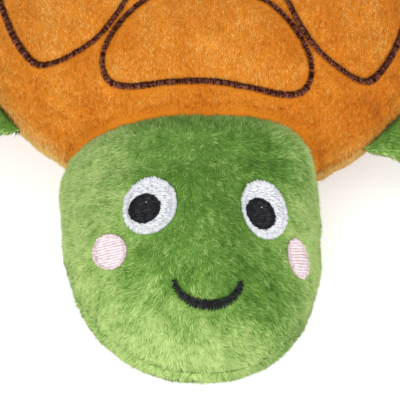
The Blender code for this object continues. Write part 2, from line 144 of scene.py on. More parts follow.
class Waves:
    """A smooth field that wanders between about -1 and 1: a sum of cosines of unlike ways and phases."""

    def __init__(self, wavelength: float, seed: int, count: int = 18) -> None:
        """Draws the waves.

        Args:
            wavelength: The middle length of the waves, in metres.
            seed: The seed of their ways and phases.
            count: How many waves are summed.
        """
        draw = np.random.default_rng(seed)
        pitch = math.tau / wavelength * draw.uniform(*PITCH_SPREAD, count)
        self.ways = unit(draw.normal(size=(count, 3))) * pitch[:, None]
        self.phases = draw.uniform(0.0, math.tau, count)
        self.size = math.sqrt(2.0 / count)

    def at(self, points: Array) -> Array:
        """The field's value at each point: the summed cosines of way dot point plus phase."""
        return np.cos(points @ self.ways.T + self.phases).sum(axis=-1) * self.size


@dataclass
class Spots:
    """Places on a surface and the unit normals there."""

    points: Array
    normals: Array

    def picked(self, keep: Array) -> "Spots":
        """The spots that a mask keeps."""
        return Spots(self.points[keep], self.normals[keep])

    def lifted(self, height: Array | float) -> Array:
        """The points moved out along their normals."""
        return self.points + self.normals * np.asarray(height)[..., None]


@dataclass
class Sheet:
    """A sewn panel over its stuffing: an outer grid of points, and a lid that closes it along the seam.

    Both grids have the shape (rows, columns, 3) and share their edge.
    """

    outer: Array
    lid: Array

    def __post_init__(self) -> None:
        """Works out which way round the grid has to be read for its faces to point out."""
        self.sense = 1.0
        away = self.outer - self.lid
        if (self.grid_normals() * away).sum() < 0.0:
            self.sense = -1.0

    def grid_normals(self) -> Array:
        """Unit normals of the grid: the change along columns cross the change along rows."""
        by_column = np.gradient(self.outer, axis=1)
        by_row = np.gradient(self.outer, axis=0)
        return unit(np.cross(by_column, by_row)) * self.sense

    def at(self, rows: Array, columns: Array) -> Spots:
        """Places between the grid's points, blended from the four corners round each.

        Args:
            rows: Row numbers with fractions.
            columns: Column numbers with fractions.

        Returns:
            The points there and their normals.
        """
        last_row, last_column = self.outer.shape[0] - 1, self.outer.shape[1] - 1
        rows = np.clip(rows, 0.0, last_row)
        columns = np.clip(columns, 0.0, last_column)
        row = np.minimum(rows.astype(int), last_row - 1)
        column = np.minimum(columns.astype(int), last_column - 1)
        down, over = (rows - row)[..., None], (columns - column)[..., None]
        normals = self.grid_normals()

        def blend(grid: Array) -> Array:
            """The grid's value at the fractional places."""
            near = grid[row, column] * (1 - over) + grid[row, column + 1] * over
            far = grid[row + 1, column] * (1 - over) + grid[row + 1, column + 1] * over
            return near * (1 - down) + far * down

        return Spots(blend(self.outer), unit(blend(normals)))

    def even_places(self, spacing: float) -> tuple[Array, Array]:
        """Evenly spread places on the sheet: a golden-ratio lattice, stretched so each cell gets its due.

        Place i lies where the area from the first row on is (i + 1/2) / n of the whole, and across that
        row where the area is the fractional part of i times the golden ratio.

        Args:
            spacing: The distance between neighbouring places, in metres.

        Returns:
            Row and column numbers with fractions.
        """
        one = self.outer[1:, 1:] - self.outer[:-1, :-1]
        other = self.outer[1:, :-1] - self.outer[:-1, 1:]
        areas = np.linalg.norm(np.cross(one, other), axis=-1) / 2.0
        count = int(areas.sum() / spacing ** 2)
        order = np.arange(count)
        row_sums = areas.sum(axis=1)
        reach = np.concatenate([[0.0], np.cumsum(row_sums)]) / row_sums.sum()
        rows = np.interp((order + 0.5) / count, reach, np.arange(len(reach)))
        band = np.minimum(rows.astype(int), len(row_sums) - 1)
        shares = areas / row_sums[:, None]
        ends = np.cumsum(shares, axis=1)
        flat = (ends + np.arange(len(ends))[:, None]).ravel()
        wanted = band + np.mod(order * GOLDEN_SHARE, 1.0) * (1.0 - TINY)
        cell = np.minimum(np.searchsorted(flat, wanted), flat.size - 1)
        inside = 1.0 - (flat[cell] - wanted) / np.maximum(shares.ravel()[cell], TINY)
        return rows, cell % shares.shape[1] + np.clip(inside, 0.0, 1.0)

    def mesh_parts(self) -> tuple[Array, Array]:
        """Points and quads of the closed pillow: the outer grid, and the lid joined to it along the edge."""
        rows, columns = self.outer.shape[:2]
        top = np.arange(rows * columns).reshape(rows, columns)
        under = top.copy()
        under[1:-1, 1:-1] = rows * columns + np.arange((rows - 2) * (columns - 2)).reshape(rows - 2, -1)
        points = np.concatenate([self.outer.reshape(-1, 3), self.lid[1:-1, 1:-1].reshape(-1, 3)])
        quads = np.concatenate([grid_quads(top), grid_quads(under)[:, ::-1]])
        return points, quads if self.sense > 0 else quads[:, ::-1]


def grid_quads(index: Array) -> Array:
    """The quads of a grid of point numbers, each read column first.

    Args:
        index: Point numbers of shape (rows, columns).

    Returns:
        Quads of shape (faces, 4).
    """
    corners = [index[:-1, :-1], index[:-1, 1:], index[1:, 1:], index[1:, :-1]]
    return np.stack(corners, axis=-1).reshape(-1, 4)


class Wire:
    """A number in a material's node tree. Arithmetic on it adds Math nodes."""

    def __init__(self, tree: "Tree", socket: bpy.types.NodeSocket) -> None:
        """Wraps an output socket of a tree."""
        self.tree = tree
        self.socket = socket

    def maths(self, operation: str, first: "Wire | float", second: "Wire | float" = 0.0) -> "Wire":
        """One Math node.

        Args:
            operation: The node's operation.
            first: Its first value.
            second: Its second value.

        Returns:
            The node's result.
        """
        return self.tree.node("ShaderNodeMath", {"operation": operation}, {0: first, 1: second})

    def __add__(self, other: "Wire | float") -> "Wire":
        """This plus another."""
        return self.maths("ADD", self, other)

    def __sub__(self, other: "Wire | float") -> "Wire":
        """This less another."""
        return self.maths("SUBTRACT", self, other)

    def __rsub__(self, other: float) -> "Wire":
        """A number less this."""
        return self.maths("SUBTRACT", other, self)

    def __mul__(self, other: "Wire | float") -> "Wire":
        """This times another."""
        return self.maths("MULTIPLY", self, other)

    __radd__ = __add__
    __rmul__ = __mul__

    def held(self) -> "Wire":
        """This held between 0 and 1."""
        return self.maths("MINIMUM", self.maths("MAXIMUM", self, 0.0), 1.0)


Value = Wire | float | tuple


class Tree:
    """A new material and the one way to put nodes into it."""

    def __init__(self, name: str) -> None:
        """Makes a material that holds only its output and its Principled shader."""
        self.material = bpy.data.materials.new(name)
        self.material.use_nodes = True
        self.nodes = self.material.node_tree.nodes
        self.links = self.material.node_tree.links
        self.shader = self.nodes["Principled BSDF"]
        self.output = self.nodes["Material Output"]

    def connect(self, socket: bpy.types.NodeSocket, value: Value) -> None:
        """Links a wire to an input socket, or sets a plain value on it."""
        if isinstance(value, Wire):
            self.links.new(value.socket, socket)
        else:
            socket.default_value = value

    def node(self, kind: str, settings: dict, inputs: dict, output: int | str = 0) -> Wire:
        """Adds one node.

        Args:
            kind: The node's type.
            settings: Its properties, set first; stops are a ramp's places and colours.
            inputs: Values or wires by socket name or number.
            output: The name or number of the socket that is wanted.

        Returns:
            The wanted output.
        """
        made = self.nodes.new(kind)
        for key, value in settings.items():
            if key == "stops":
                stops = made.color_ramp.elements
                for stop, (place, colour) in enumerate(value):
                    point = stops[stop] if stop < 2 else stops.new(place)
                    point.position, point.color = place, (*colour, 1.0)
            else:
                setattr(made, key, value)
        for key, value in inputs.items():
            self.connect(made.inputs[key], value)
        return Wire(self, made.outputs[output])

    def attribute(self, name: str) -> Wire:
        """A number stored on the mesh."""
        return self.node("ShaderNodeAttribute", {"attribute_name": name}, {}, "Fac")

    def place(self) -> Wire:
        """The object's own coordinates, in metres."""
        return self.node("ShaderNodeTexCoord", {}, {}, "Object")

    def noise(self, size: float, detail: float = 2.0, stretch: tuple = (1.0, 1.0, 1.0)) -> Wire:
        """A cloudy pattern from 0 to 1.

        Args:
            size: The size of its clouds, in metres.
            detail: How many finer layers it has.
            stretch: A factor on its pitch along each axis.

        Returns:
            The pattern's value.
        """
        mapped = self.node("ShaderNodeMapping", {}, {"Vector": self.place(), "Scale": stretch})
        settings = {"Vector": mapped, "Scale": 1.0 / size, "Detail": detail, "Roughness": 0.55}
        return self.node("ShaderNodeTexNoise", {}, settings, "Fac")

    def mix(self, share: Value, first: Value, second: Value) -> Wire:
        """A colour between two others.

        Args:
            share: 0 for the first colour, 1 for the second.
            first: A colour.
            second: Another colour.

        Returns:
            The blended colour.
        """
        inputs = {0: share, 6: opaque(first), 7: opaque(second)}
        return self.node("ShaderNodeMix", {"data_type": "RGBA"}, inputs, 2)

    def bump(self, height: Wire, depth: float) -> Wire:
        """A normal bent by a height map of a given depth in metres."""
        return self.node("ShaderNodeBump", {}, {"Height": height, "Distance": depth})

    def set(self, **inputs: Value) -> None:
        """Sets the Principled shader's inputs, their spaces written as underscores."""
        for key, value in inputs.items():
            self.connect(self.shader.inputs[key.replace("_", " ")], opaque(value))


def opaque(value: Value) -> Value:
    """A colour of three numbers with its alpha; anything else as it is."""
    return (*value, 1.0) if isinstance(value, tuple) and len(value) == 3 else value


def colour(red: int, green: int, blue: int) -> tuple:
    """A colour as it shows on a screen, 0 to 255, in the linear numbers that shaders use.

    Args:
        red: The red part.
        green: The green part.
        blue: The blue part.

    Returns:
        The three linear numbers.
    """
    shares = np.array((red, green, blue)) / 255.0
    linear = np.where(shares <= 0.04045, shares / 12.92, ((shares + 0.055) / 1.055) ** 2.4)
    return tuple(float(part) for part in linear)


@dataclass(frozen=True)
class PlushFinish:
    """Short plush: a dark foot between the tufts, and hairs that grow paler towards their tips.

    Rise, strand, cloud and knit say how far the colour moves from its foot to its tip along a hair, from
    hair to hair, over a patch and over the ground cloth, which is darker by its drop. The dark foot is
    painted shade deep in the pile, and the ground's drop is painted shade between the tufts.
    """

    slot: str
    foot: tuple
    middle: tuple
    tip: tuple
    bloom: tuple
    rise: float = 0.40
    strand: float = 0.42
    cloud: float = 0.45
    cloud_size: float = 5 * MM
    cloud_stretch: tuple = (1.0, 1.0, 1.0)
    knit: float = 0.3
    knit_size: float = 0.7 * MM
    knit_depth: float = 0.4 * MM
    painted_ground_shade: float = 0.2
    sheen: float = 0.4

    @cache
    def pile(self) -> bpy.types.Material:
        """The material of the tufts: darker towards a tuft's foot as painted shade deep in the pile, and
        lighter or darker where the stored tone paints sheen and shade.
        """
        tree = Tree(f"{self.slot}_pile")
        strand = (tree.attribute("shade") - 0.5) * self.strand
        cloud = (tree.noise(self.cloud_size, 3.0, self.cloud_stretch) - 0.5) * self.cloud
        # Painted shade towards each tuft's foot; the stored tone adds the painted sheen and shade set for
        # each part.
        place = (tree.attribute("reach") - CREST_REACH) * self.rise + tree.attribute("tone") + strand + cloud
        tree.set(Base_Color=self.shade(tree, place), Roughness=0.8, Sheen_Weight=self.sheen,
                 Sheen_Roughness=0.5, Sheen_Tint=self.bloom, Specular_IOR_Level=0.15)
        return tree.material

    def shade(self, tree: Tree, place: Wire) -> Wire:
        """The plush's colour at a place from 0, the foot, to 1, the tip."""
        stops = [(0.0, self.foot), (1.0, self.tip), (0.5, self.middle)]
        return tree.node("ShaderNodeValToRGB", {"stops": stops}, {"Fac": place.held()}, "Color")

    @cache
    def cloth(self) -> bpy.types.Material:
        """The material of the knitted ground that the tufts stand on."""
        tree = Tree(f"{self.slot}_ground")
        knit = tree.noise(self.knit_size, detail=1.0)
        # Painted shade: the ground cloth seen between the tufts is set darker than the pile's tone.
        place = tree.attribute("tone") + knit * self.knit - self.painted_ground_shade
        tree.set(Base_Color=self.shade(tree, place), Roughness=0.9, Sheen_Weight=self.sheen,
                 Sheen_Tint=self.bloom, Specular_IOR_Level=0.1, Normal=tree.bump(knit, self.knit_depth))
        return tree.material


@dataclass(frozen=True)
class ThreadFinish:
    """Satin embroidery thread: a twisted yarn whose strands differ, and that pales to one end as a painted
    highlight.

    Its colour starts at a place between dark and light and moves from thread to thread, from strand to
    strand and along a streak of threads.
    """

    slot: str
    dark: tuple
    light: tuple
    start: float
    streak: float
    streak_size: float = 1.1 * MM
    streak_stretch: tuple = (0.45, 1.0, 1.0)
    strand: float = 0.25
    strand_size: float = 0.35 * MM
    strand_depth: float = 0.06 * MM
    strand_roughness: float = 0.15
    vary: float = 0.4
    outer_highlight: float = 0.0
    outer_highlight_gain: float = 2.6
    gloss: float = 0.5
    roughness: float = 0.42

    @cache
    def thread(self) -> bpy.types.Material:
        """The material of the stitched threads."""
        tree = Tree(self.slot)
        strand = tree.noise(self.strand_size, detail=1.0)
        streak = (tree.noise(self.streak_size, 1.0, self.streak_stretch) - 0.5) * self.streak
        plain = tree.attribute("shade") * self.vary + strand * self.strand + streak + self.start
        # Painted highlight: along the thread the colour moves towards light, on the outer side of a cord.
        kept = plain * (1.0 - self.outer_highlight)
        highlighted = plain * tree.attribute("reach") * (self.outer_highlight_gain * self.outer_highlight)
        share = (kept + highlighted).held()
        tree.set(Base_Color=tree.mix(share, self.dark, self.light),
                 Roughness=self.roughness + strand * self.strand_roughness,
                 Specular_IOR_Level=self.gloss, Normal=tree.bump(strand, self.strand_depth))
        return tree.material


ORANGE = PlushFinish("orange_plush", colour(182, 76, 2), colour(236, 144, 36), colour(255, 210, 124),
                     colour(255, 206, 140), rise=0.32, strand=0.36, cloud=0.78, cloud_size=1.3 * MM,
                     cloud_stretch=(1.2, 0.6, 1.0), sheen=0.3)
GREEN = PlushFinish("green_plush", colour(48, 90, 22), colour(114, 162, 66), colour(204, 230, 142),
                    colour(210, 240, 165))
# The brown's mauve light colour, reached towards each thread's outer end, is a painted highlight on the
# cord's roll.
BROWN = ThreadFinish("brown_satin_thread", colour(44, 6, 0), colour(168, 104, 84), -0.22, 1.2,
                     streak_size=0.7 * MM, vary=0.5, outer_highlight=0.66, gloss=0.08, roughness=0.6)
WHITE = ThreadFinish("white_satin_thread", colour(140, 146, 162), colour(252, 254, 255), 0.46, 0.7)
# The black's grey light colour, reached along its streaks, is painted sheen on the satin.
BLACK = ThreadFinish("black_satin_thread", colour(2, 2, 4), colour(60, 61, 72), -0.06, 1.5, gloss=0.25,
                     roughness=0.5)
PINK = ThreadFinish("pink_satin_thread", colour(170, 120, 124), colour(255, 240, 243), 0.50, 0.7)


def new_piece(name: str, points: Array, faces: list[Array], material: bpy.types.Material,
              smooth: bool = True) -> bpy.types.Object:
    """A mesh object in the row frame, built from whole arrays.

    Args:
        name: The piece's name.
        points: Points of shape (points, 3).
        faces: Blocks of faces, each of shape (faces, corners).
        material: Its material.
        smooth: Whether its faces are shaded smooth.

    Returns:
        The new object, at the origin, unturned and unscaled.
    """
    corners = np.concatenate([block.ravel() for block in faces]).astype(np.int32)
    sizes = np.concatenate([np.full(len(block), block.shape[1]) for block in faces])
    mesh = bpy.data.meshes.new(name)
    mesh.vertices.add(len(points))
    mesh.vertices.foreach_set("co", points.astype(np.float32).ravel())
    mesh.loops.add(len(corners))
    mesh.loops.foreach_set("vertex_index", corners)
    mesh.polygons.add(len(sizes))
    mesh.polygons.foreach_set("loop_start", (np.cumsum(sizes) - sizes).astype(np.int32))
    mesh.update(calc_edges=True)
    mesh.materials.append(material)
    if smooth:
        mesh.shade_smooth()
    piece = bpy.data.objects.new(name, mesh)
    bpy.context.scene.collection.objects.link(piece)
    return piece


def store(piece: bpy.types.Object, name: str, values: Array) -> None:
    """Keeps one number for each of a piece's points, for its material to read."""
    layer = piece.data.attributes.new(name, "FLOAT", "POINT")
    layer.data.foreach_set("value", values.astype(np.float32).ravel())


def tint(piece: bpy.types.Object, tones: Callable[[Array], Array]) -> None:
    """Keeps the tone of the pile at each of a ground cloth's points, so that the cloth pales with it."""
    points = np.zeros(3 * len(piece.data.vertices), dtype=np.float32)
    piece.data.vertices.foreach_get("co", points)
    store(piece, "tone", tones(points.reshape(-1, 3).astype(float)))


def settle(piece: bpy.types.Object, body: str, replaced: list[str]) -> None:
    """Ties a piece to its body and the nodes that it stands for, and reports it."""
    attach(piece, body)
    if replaced:
        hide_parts(*replaced)
    log.info("%s: %d faces on %s", piece.name, len(piece.data.polygons), body)


@dataclass(frozen=True)
class Pile:
    """Tufts of plush: pointed leaves of four faces that lean over and lie along the nap."""

    spacing: float = 0.73 * MM
    length: float = 2.6 * MM
    half_width: float = 0.33 * MM
    crest: float = 0.20 * MM
    crest_share: float = 0.42
    root_depth: float = 0.12 * MM
    root_shift_share: float = 0.38
    lay_angle: float = math.radians(27.0)
    lay_size: float = 9.0 * MM
    lay_share: float = 0.25
    lay_spread: float = 0.10
    lay_limits: tuple = (0.12, 1.3)
    swirl_angle: float = math.radians(12.0)
    swirl_size: float = 26.0 * MM
    clump_angle: float = math.radians(18.0)
    clump_size: float = 5.0 * MM
    clump_tone: float = 0.06
    clump_tone_size: float = 3.2 * MM
    stray_angle: float = math.radians(9.0)
    length_spread: tuple = (0.72, 1.22)
    width_spread: tuple = (0.75, 1.2)
    fuzz_share: float = 0.05
    fuzz_angle: float = math.radians(32.0)
    fuzz_width_share: float = 0.5
    round_share: float = 0.45
    tip_lean_share: float = 0.3

    def grow(self, name: str, spots: Spots, nap: Array, lengths: Array, tones: Array, finish: PlushFinish,
             body: str, seed: int, stand: Array | float = 0.0) -> bpy.types.Object:
        """Grows one tuft at each spot.

        A tuft has two feet beside its root, a crest and a tip. The tip lies one length along the nap,
        raised by the lay angle, and the crest lies part of the way there, a little higher. A share of the
        tufts are thin hairs that stand up more. Shading normals are the cloth's own, rounded across each
        tuft, so that the pile is lit as one soft surface.

        Args:
            name: The piece's name.
            spots: The tufts' roots.
            nap: The way that the nap runs at each root.
            lengths: A share of the full length for each tuft.
            tones: How pale each tuft is, from 0 to 1.
            finish: The plush.
            body: The body that the piece rides on.
            seed: The seed of what differs from tuft to tuft.
            stand: How much more a tuft stands up than its lay angle, in radians.

        Returns:
            The piece.
        """
        draw = np.random.default_rng(seed)
        count = len(spots.points)
        most = self.root_shift_share
        shift = draw.uniform(-most, most, (2, count, 1)) * self.spacing
        ways = along_surface(nap, spots.normals)
        beside = np.cross(spots.normals, ways)
        roots = spots.points + ways * shift[0] + beside * shift[1]
        sizes = (self.swirl_size, self.clump_size, self.lay_size, self.clump_tone_size)
        swirl, clump, bed, tone = (Waves(size, seed + n).at(roots) for n, size in enumerate(sizes, 1))
        tones = tones + self.clump_tone * tone
        angles = swirl * self.swirl_angle + clump * self.clump_angle
        ways = turned(ways, spots.normals, angles + draw.normal(0.0, self.stray_angle, count))
        beside = np.cross(spots.normals, ways)
        fuzz = draw.random(count) < self.fuzz_share
        lay = self.lay_angle * (1 + self.lay_share * bed) + draw.normal(0.0, self.lay_spread, count)
        lay = np.clip(lay + self.fuzz_angle * fuzz + stand, *self.lay_limits)[:, None]
        size = (lengths * draw.uniform(*self.length_spread, count))[:, None]
        wide = self.half_width * draw.uniform(*self.width_spread, count)[:, None] * np.sqrt(size)
        wide = np.where(fuzz[:, None], self.fuzz_width_share * wide, wide)
        lean = ways * np.cos(lay) + spots.normals * np.sin(lay)
        base = roots - spots.normals * self.root_depth
        crest = base + lean * (self.length * size * self.crest_share) + spots.normals * (self.crest * size)
        tip = base + lean * (self.length * size)
        points = np.stack([base + beside * wide, base - beside * wide, crest, tip], axis=1)
        pattern = np.array(((0, 3, 1), (0, 2, 3), (1, 3, 2), (0, 1, 2)))
        faces = (np.arange(count)[:, None, None] * 4 + pattern).reshape(-1, 3)
        piece = new_piece(name, points.reshape(-1, 3), [faces], finish.pile())
        rounded, upright = beside * self.round_share, spots.normals
        at_tip = upright + self.tip_lean_share * lean
        shading = np.stack([upright + rounded, upright - rounded, upright, at_tip], axis=1)
        layer = piece.data.attributes.new("custom_normal", "FLOAT_VECTOR", "POINT")
        layer.data.foreach_set("vector", unit(shading).astype(np.float32).ravel())
        store(piece, "reach", np.tile((FOOT_REACH, FOOT_REACH, CREST_REACH, TIP_REACH), count))
        store(piece, "shade", np.repeat(draw.uniform(0.0, 1.0, count), 4))
        store(piece, "tone", np.repeat(tones, 4))
        self.lay_out(piece, count)
        settle(piece, body, [])
        return piece

    def lay_out(self, piece: bpy.types.Object, count: int) -> None:
        """Gives each tuft its own square of the UV map, cut into four triangles by its diagonals."""
        side = math.ceil(math.sqrt(count))
        order = np.arange(count)
        corner = np.stack([order % side, order // side], axis=-1)[:, None, :]
        triangles = SQUARE[[0, 1, 4, 1, 2, 4, 2, 3, 4, 3, 0, 4]]
        layer = piece.data.uv_layers.new(name="OFBake")
        layer.uv.foreach_set("vector", ((corner + triangles) / side).astype(np.float32).ravel())


def tubes(paths: Array, normals: Array, half_widths: Array, heights: Array) -> tuple[Array, Array]:
    """Closed threads along paths: each ring has two feet beside the path and two shoulders over it.

    Args:
        paths: Points of shape (threads, steps, 3).
        normals: Unit normals of the same shape.
        half_widths: Half the thread's width at each step.
        heights: The thread's height at each step.

    Returns:
        Points of shape (all, 3) and quads of shape (faces, 4).
    """
    beside = unit(np.cross(normals, np.gradient(paths, axis=1)))
    wide = half_widths[..., None, None] * np.sin(RING_ANGLES)[:, None]
    high = heights[..., None, None] * np.cos(RING_ANGLES)[:, None]
    rings = paths[:, :, None] + beside[:, :, None] * wide + normals[:, :, None] * high
    threads, steps, corners = rings.shape[:3]
    index = np.arange(threads * steps * corners).reshape(threads, steps, corners)
    belts = np.concatenate([index, index[:, :, :1]], axis=2)
    quads = [belts[:, :-1, 1:], belts[:, :-1, :-1], belts[:, 1:, :-1], belts[:, 1:, 1:]]
    walls = np.stack(quads, axis=-1).reshape(-1, 4)
    faces = np.concatenate([walls, index[:, 0], index[:, -1, ::-1]])
    return rings.reshape(-1, 3), faces


@dataclass(frozen=True)
class Satin:
    """Satin stitching: threads laid side by side over a low roll."""

    half_width: float = 0.20 * MM
    height: float = 0.17 * MM
    pitch: float = 0.36 * MM
    dip: float = 0.25 * MM
    end_power: int = 8
    end_narrowing: float = 0.55
    end_lowering: float = 0.5
    width_spread: tuple = (0.9, 1.12)
    shades: tuple = (0.0, 1.0)

    def sew(self, name: str, paths: list[Array], normals: list[Array], finish: ThreadFinish,
            seed: int) -> bpy.types.Object:
        """Makes one piece of many threads; each thread's ends thin out and dip under the surface.

        Args:
            name: The piece's name.
            paths: Blocks of thread paths of shape (threads, steps, 3).
            normals: Their unit normals.
            finish: The thread.
            seed: The seed of the shades.

        Returns:
            The piece.
        """
        draw = np.random.default_rng(seed)
        points, faces, shades, reaches, start = [], [], [], [], 0
        for path, normal in zip(paths, normals):
            threads, steps = path.shape[:2]
            place = np.linspace(-1.0, 1.0, steps)
            ending = np.abs(place) ** self.end_power
            wide = self.half_width * (1.0 - self.end_narrowing * ending)
            wide = wide * draw.uniform(*self.width_spread, (threads, 1))
            high = self.height * (1.0 - self.end_lowering * ending) * np.ones((threads, 1))
            path = path - normal * (self.dip * ending)[:, None]
            block, quads = tubes(path, normal, wide, high)
            points.append(block)
            faces.append(quads + start)
            shades.append(np.repeat(draw.uniform(*self.shades, threads), steps * 4))
            reaches.append(np.tile(np.repeat((place + 1.0) / 2.0, 4), threads))
            start += len(block)
        piece = new_piece(name, np.concatenate(points), [np.concatenate(faces)], finish.thread())
        store(piece, "shade", np.concatenate(shades))
        store(piece, "reach", np.concatenate(reaches))
        return piece


FILL_ROWS = Satin(half_width=0.33 * MM, height=0.18 * MM, pitch=0.70 * MM, shades=(0.6, 1.3))
CHEEK_ROWS = Satin(half_width=0.54 * MM, height=0.24 * MM, pitch=1.10 * MM, shades=(0.5, 1.2))


def nearest_line(points: Array, line: Array) -> tuple[Array, Array]:
    """How far points lie from the points of a line, and which way it is.

    Args:
        points: Points of shape (points, 2).
        line: Points of shape (stations, 2), close together.

    Returns:
        The least distances, and the ways from the line's nearest point to each point.
    """
    distances, ways = [], []
    for block in np.array_split(points, max(1, len(points) // 4096)):
        gaps = block[:, None, :] - line[None, :, :]
        squares = (gaps ** 2).sum(axis=-1)
        best = squares.argmin(axis=1)
        order = np.arange(len(block))
        distances.append(np.sqrt(squares[order, best]))
        ways.append(gaps[order, best])
    return np.concatenate(distances), np.concatenate(ways)


def disc_grid(count: int) -> tuple[Array, Array]:
    """A square grid eased into a disc: x = u √(1 - v²/2) and y = v √(1 - u²/2).

    Args:
        count: Points along each side of the grid.

    Returns:
        The x and the y of each grid point on the unit disc, rows along y.
    """
    side = np.linspace(-1.0, 1.0, count)
    wide, deep = np.meshgrid(side, side)
    return wide * np.sqrt(1.0 - deep ** 2 / 2.0), deep * np.sqrt(1.0 - wide ** 2 / 2.0)


def grid_from_disc(x: Array, y: Array) -> tuple[Array, Array]:
    """The square grid's place of a point on the disc: the inverse of disc_grid's formula.

    Args:
        x: Across the unit disc.
        y: Along the unit disc.

    Returns:
        Across and along the square, each from -1 to 1.
    """
    root = 2.0 * math.sqrt(2.0)
    lean = x ** 2 - y ** 2

    def side(place: Array, lean: Array) -> Array:
        """Half the root of 2 + lean + 2√2 place, less half the root of 2 + lean - 2√2 place."""
        more = np.sqrt(np.maximum(2.0 + lean + root * place, 0.0))
        less = np.sqrt(np.maximum(2.0 + lean - root * place, 0.0))
        return (more - less) / 2.0

    return side(x, lean), side(y, -lean)


@dataclass(frozen=True)
class Stuffing:
    """The filling that swells a sewn panel: a short cloth simulation, held along the panel's stitching."""

    pressure: float = 100.0
    slack: float = 0.012
    stiffness: float = 15.0
    bending: float = 0.5
    mass: float = 0.1
    frames: int = 20
    quality: int = 5
    most: float = 2.5 * MM
    fade_start: float = 0.5 * MM
    fade_end: float = 5.0 * MM
    thinning: int = 2

    def swell(self, name: str, sheet: Sheet, held: Array) -> Sheet:
        """The sheet as its filling swells it.

        Every second grid point takes part, and the moves of the rest are blended from theirs. A move is
        limited smoothly: the most allowed times the hyperbolic tangent of its length over the most.

        Args:
            name: What the panel is called while it is simulated.
            sheet: The panel as it was cut.
            held: Which of its grid points are held by stitching; its edge always is.

        Returns:
            The swollen panel on the same lid.
        """
        held = held.copy()
        held[[0, -1], :] = True
        held[:, [0, -1]] = True
        rows, columns = (np.unique(np.linspace(0, count - 1, count // self.thinning + 1).round().astype(int))
                         for count in held.shape)
        start = sheet.outer[np.ix_(rows, columns)]
        moves = self.simulated(name, start, held[np.ix_(rows, columns)], sheet.sense) - start
        length = np.linalg.norm(moves, axis=-1, keepdims=True)
        moves = moves * self.most * np.tanh(length / self.most) / np.maximum(length, TINY)
        for axis, (count, known) in enumerate(zip(held.shape, (rows, columns))):
            place = np.interp(np.arange(count), known, np.arange(len(known)))
            first = np.minimum(place.astype(int), len(known) - 2)
            share = np.expand_dims(place - first, (1, 2) if axis == 0 else (0, 2))
            moves = np.take(moves, first, axis) * (1 - share) + np.take(moves, first + 1, axis) * share
        clear = eased(np.linalg.norm(sheet.outer - sheet.lid, axis=-1), self.fade_start, self.fade_end)
        moves = moves * (clear * ~held)[..., None]
        log.info("%s: swelled by %.2f mm at most", name, np.linalg.norm(moves, axis=-1).max() / MM)
        return Sheet(sheet.outer + moves, sheet.lid)

    def simulated(self, name: str, grid: Array, held: Array, sense: float) -> Array:
        """Where a grid of cloth ends up under the pressure of its filling.

        Args:
            name: The name of the trial piece, which is removed again.
            grid: Points of shape (rows, columns, 3).
            held: Which of them are held.
            sense: 1 where the faces read column first point outwards, or else -1.

        Returns:
            The moved points.
        """
        points = grid.reshape(-1, 3)
        keys = np.round(points / WELD_GAP).astype(np.int64)
        _, first, merged = np.unique(keys, axis=0, return_index=True, return_inverse=True)
        merged = merged.reshape(-1)
        quads = merged[grid_quads(np.arange(held.size).reshape(held.shape))]
        quads = quads if sense > 0 else quads[:, ::-1]
        fresh = quads != np.roll(quads, -1, axis=1)
        corners = fresh.sum(axis=1)
        blocks = [quads[corners == 4], quads[corners == 3][fresh[corners == 3]].reshape(-1, 3)]
        piece = new_piece(f"{name}_trial", points[first], blocks, ORANGE.cloth())
        group = piece.vertex_groups.new(name="held")
        group.add(np.unique(merged[held.ravel()]).tolist(), 1.0, "REPLACE")
        cloth = piece.modifiers.new("cloth", "CLOTH")
        settings = cloth.settings
        settings.quality, settings.mass, settings.air_damping = self.quality, self.mass, 1.0
        settings.tension_stiffness = settings.compression_stiffness = self.stiffness
        settings.shear_stiffness, settings.bending_stiffness = self.stiffness, self.bending
        settings.shrink_min = settings.shrink_max = -self.slack
        settings.use_pressure, settings.uniform_pressure_force = True, self.pressure
        settings.vertex_group_mass, settings.pin_stiffness = group.name, 1.0
        settings.effector_weights.gravity = 0.0
        cloth.collision_settings.use_collision = False
        cloth.point_cache.frame_start, cloth.point_cache.frame_end = 1, self.frames
        scene = bpy.context.scene
        for number in range(1, self.frames + 1):
            scene.frame_set(number)
        mesh = piece.evaluated_get(bpy.context.evaluated_depsgraph_get()).data
        ended = np.zeros(3 * len(first), dtype=np.float32)
        mesh.vertices.foreach_get("co", ended)
        bpy.data.objects.remove(piece, do_unlink=True)
        scene.frame_set(1)
        return ended.astype(float).reshape(-1, 3)[merged].reshape(grid.shape)


def make_cloth(name: str, sheet: Sheet, finish: PlushFinish) -> bpy.types.Object:
    """The closed pillow of a sheet, with its doubled points merged.

    Args:
        name: The piece's name.
        sheet: The panel and its lid.
        finish: The plush.

    Returns:
        The piece.
    """
    points, quads = sheet.mesh_parts()
    piece = new_piece(name, points, [quads], finish.cloth())
    shape = bmesh.new()
    shape.from_mesh(piece.data)
    bmesh.ops.remove_doubles(shape, verts=shape.verts[:], dist=WELD_GAP)
    bmesh.ops.dissolve_degenerate(shape, edges=shape.edges[:], dist=WELD_GAP)
    shape.to_mesh(piece.data)
    shape.free()
    return piece


def neck_place() -> Array:
    """The middle of the head's nod axis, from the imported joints."""
    nod = next(joint for joint in frame["joints"] if joint["name"] == "neck_nod")
    return np.array(nod["pos_m"])


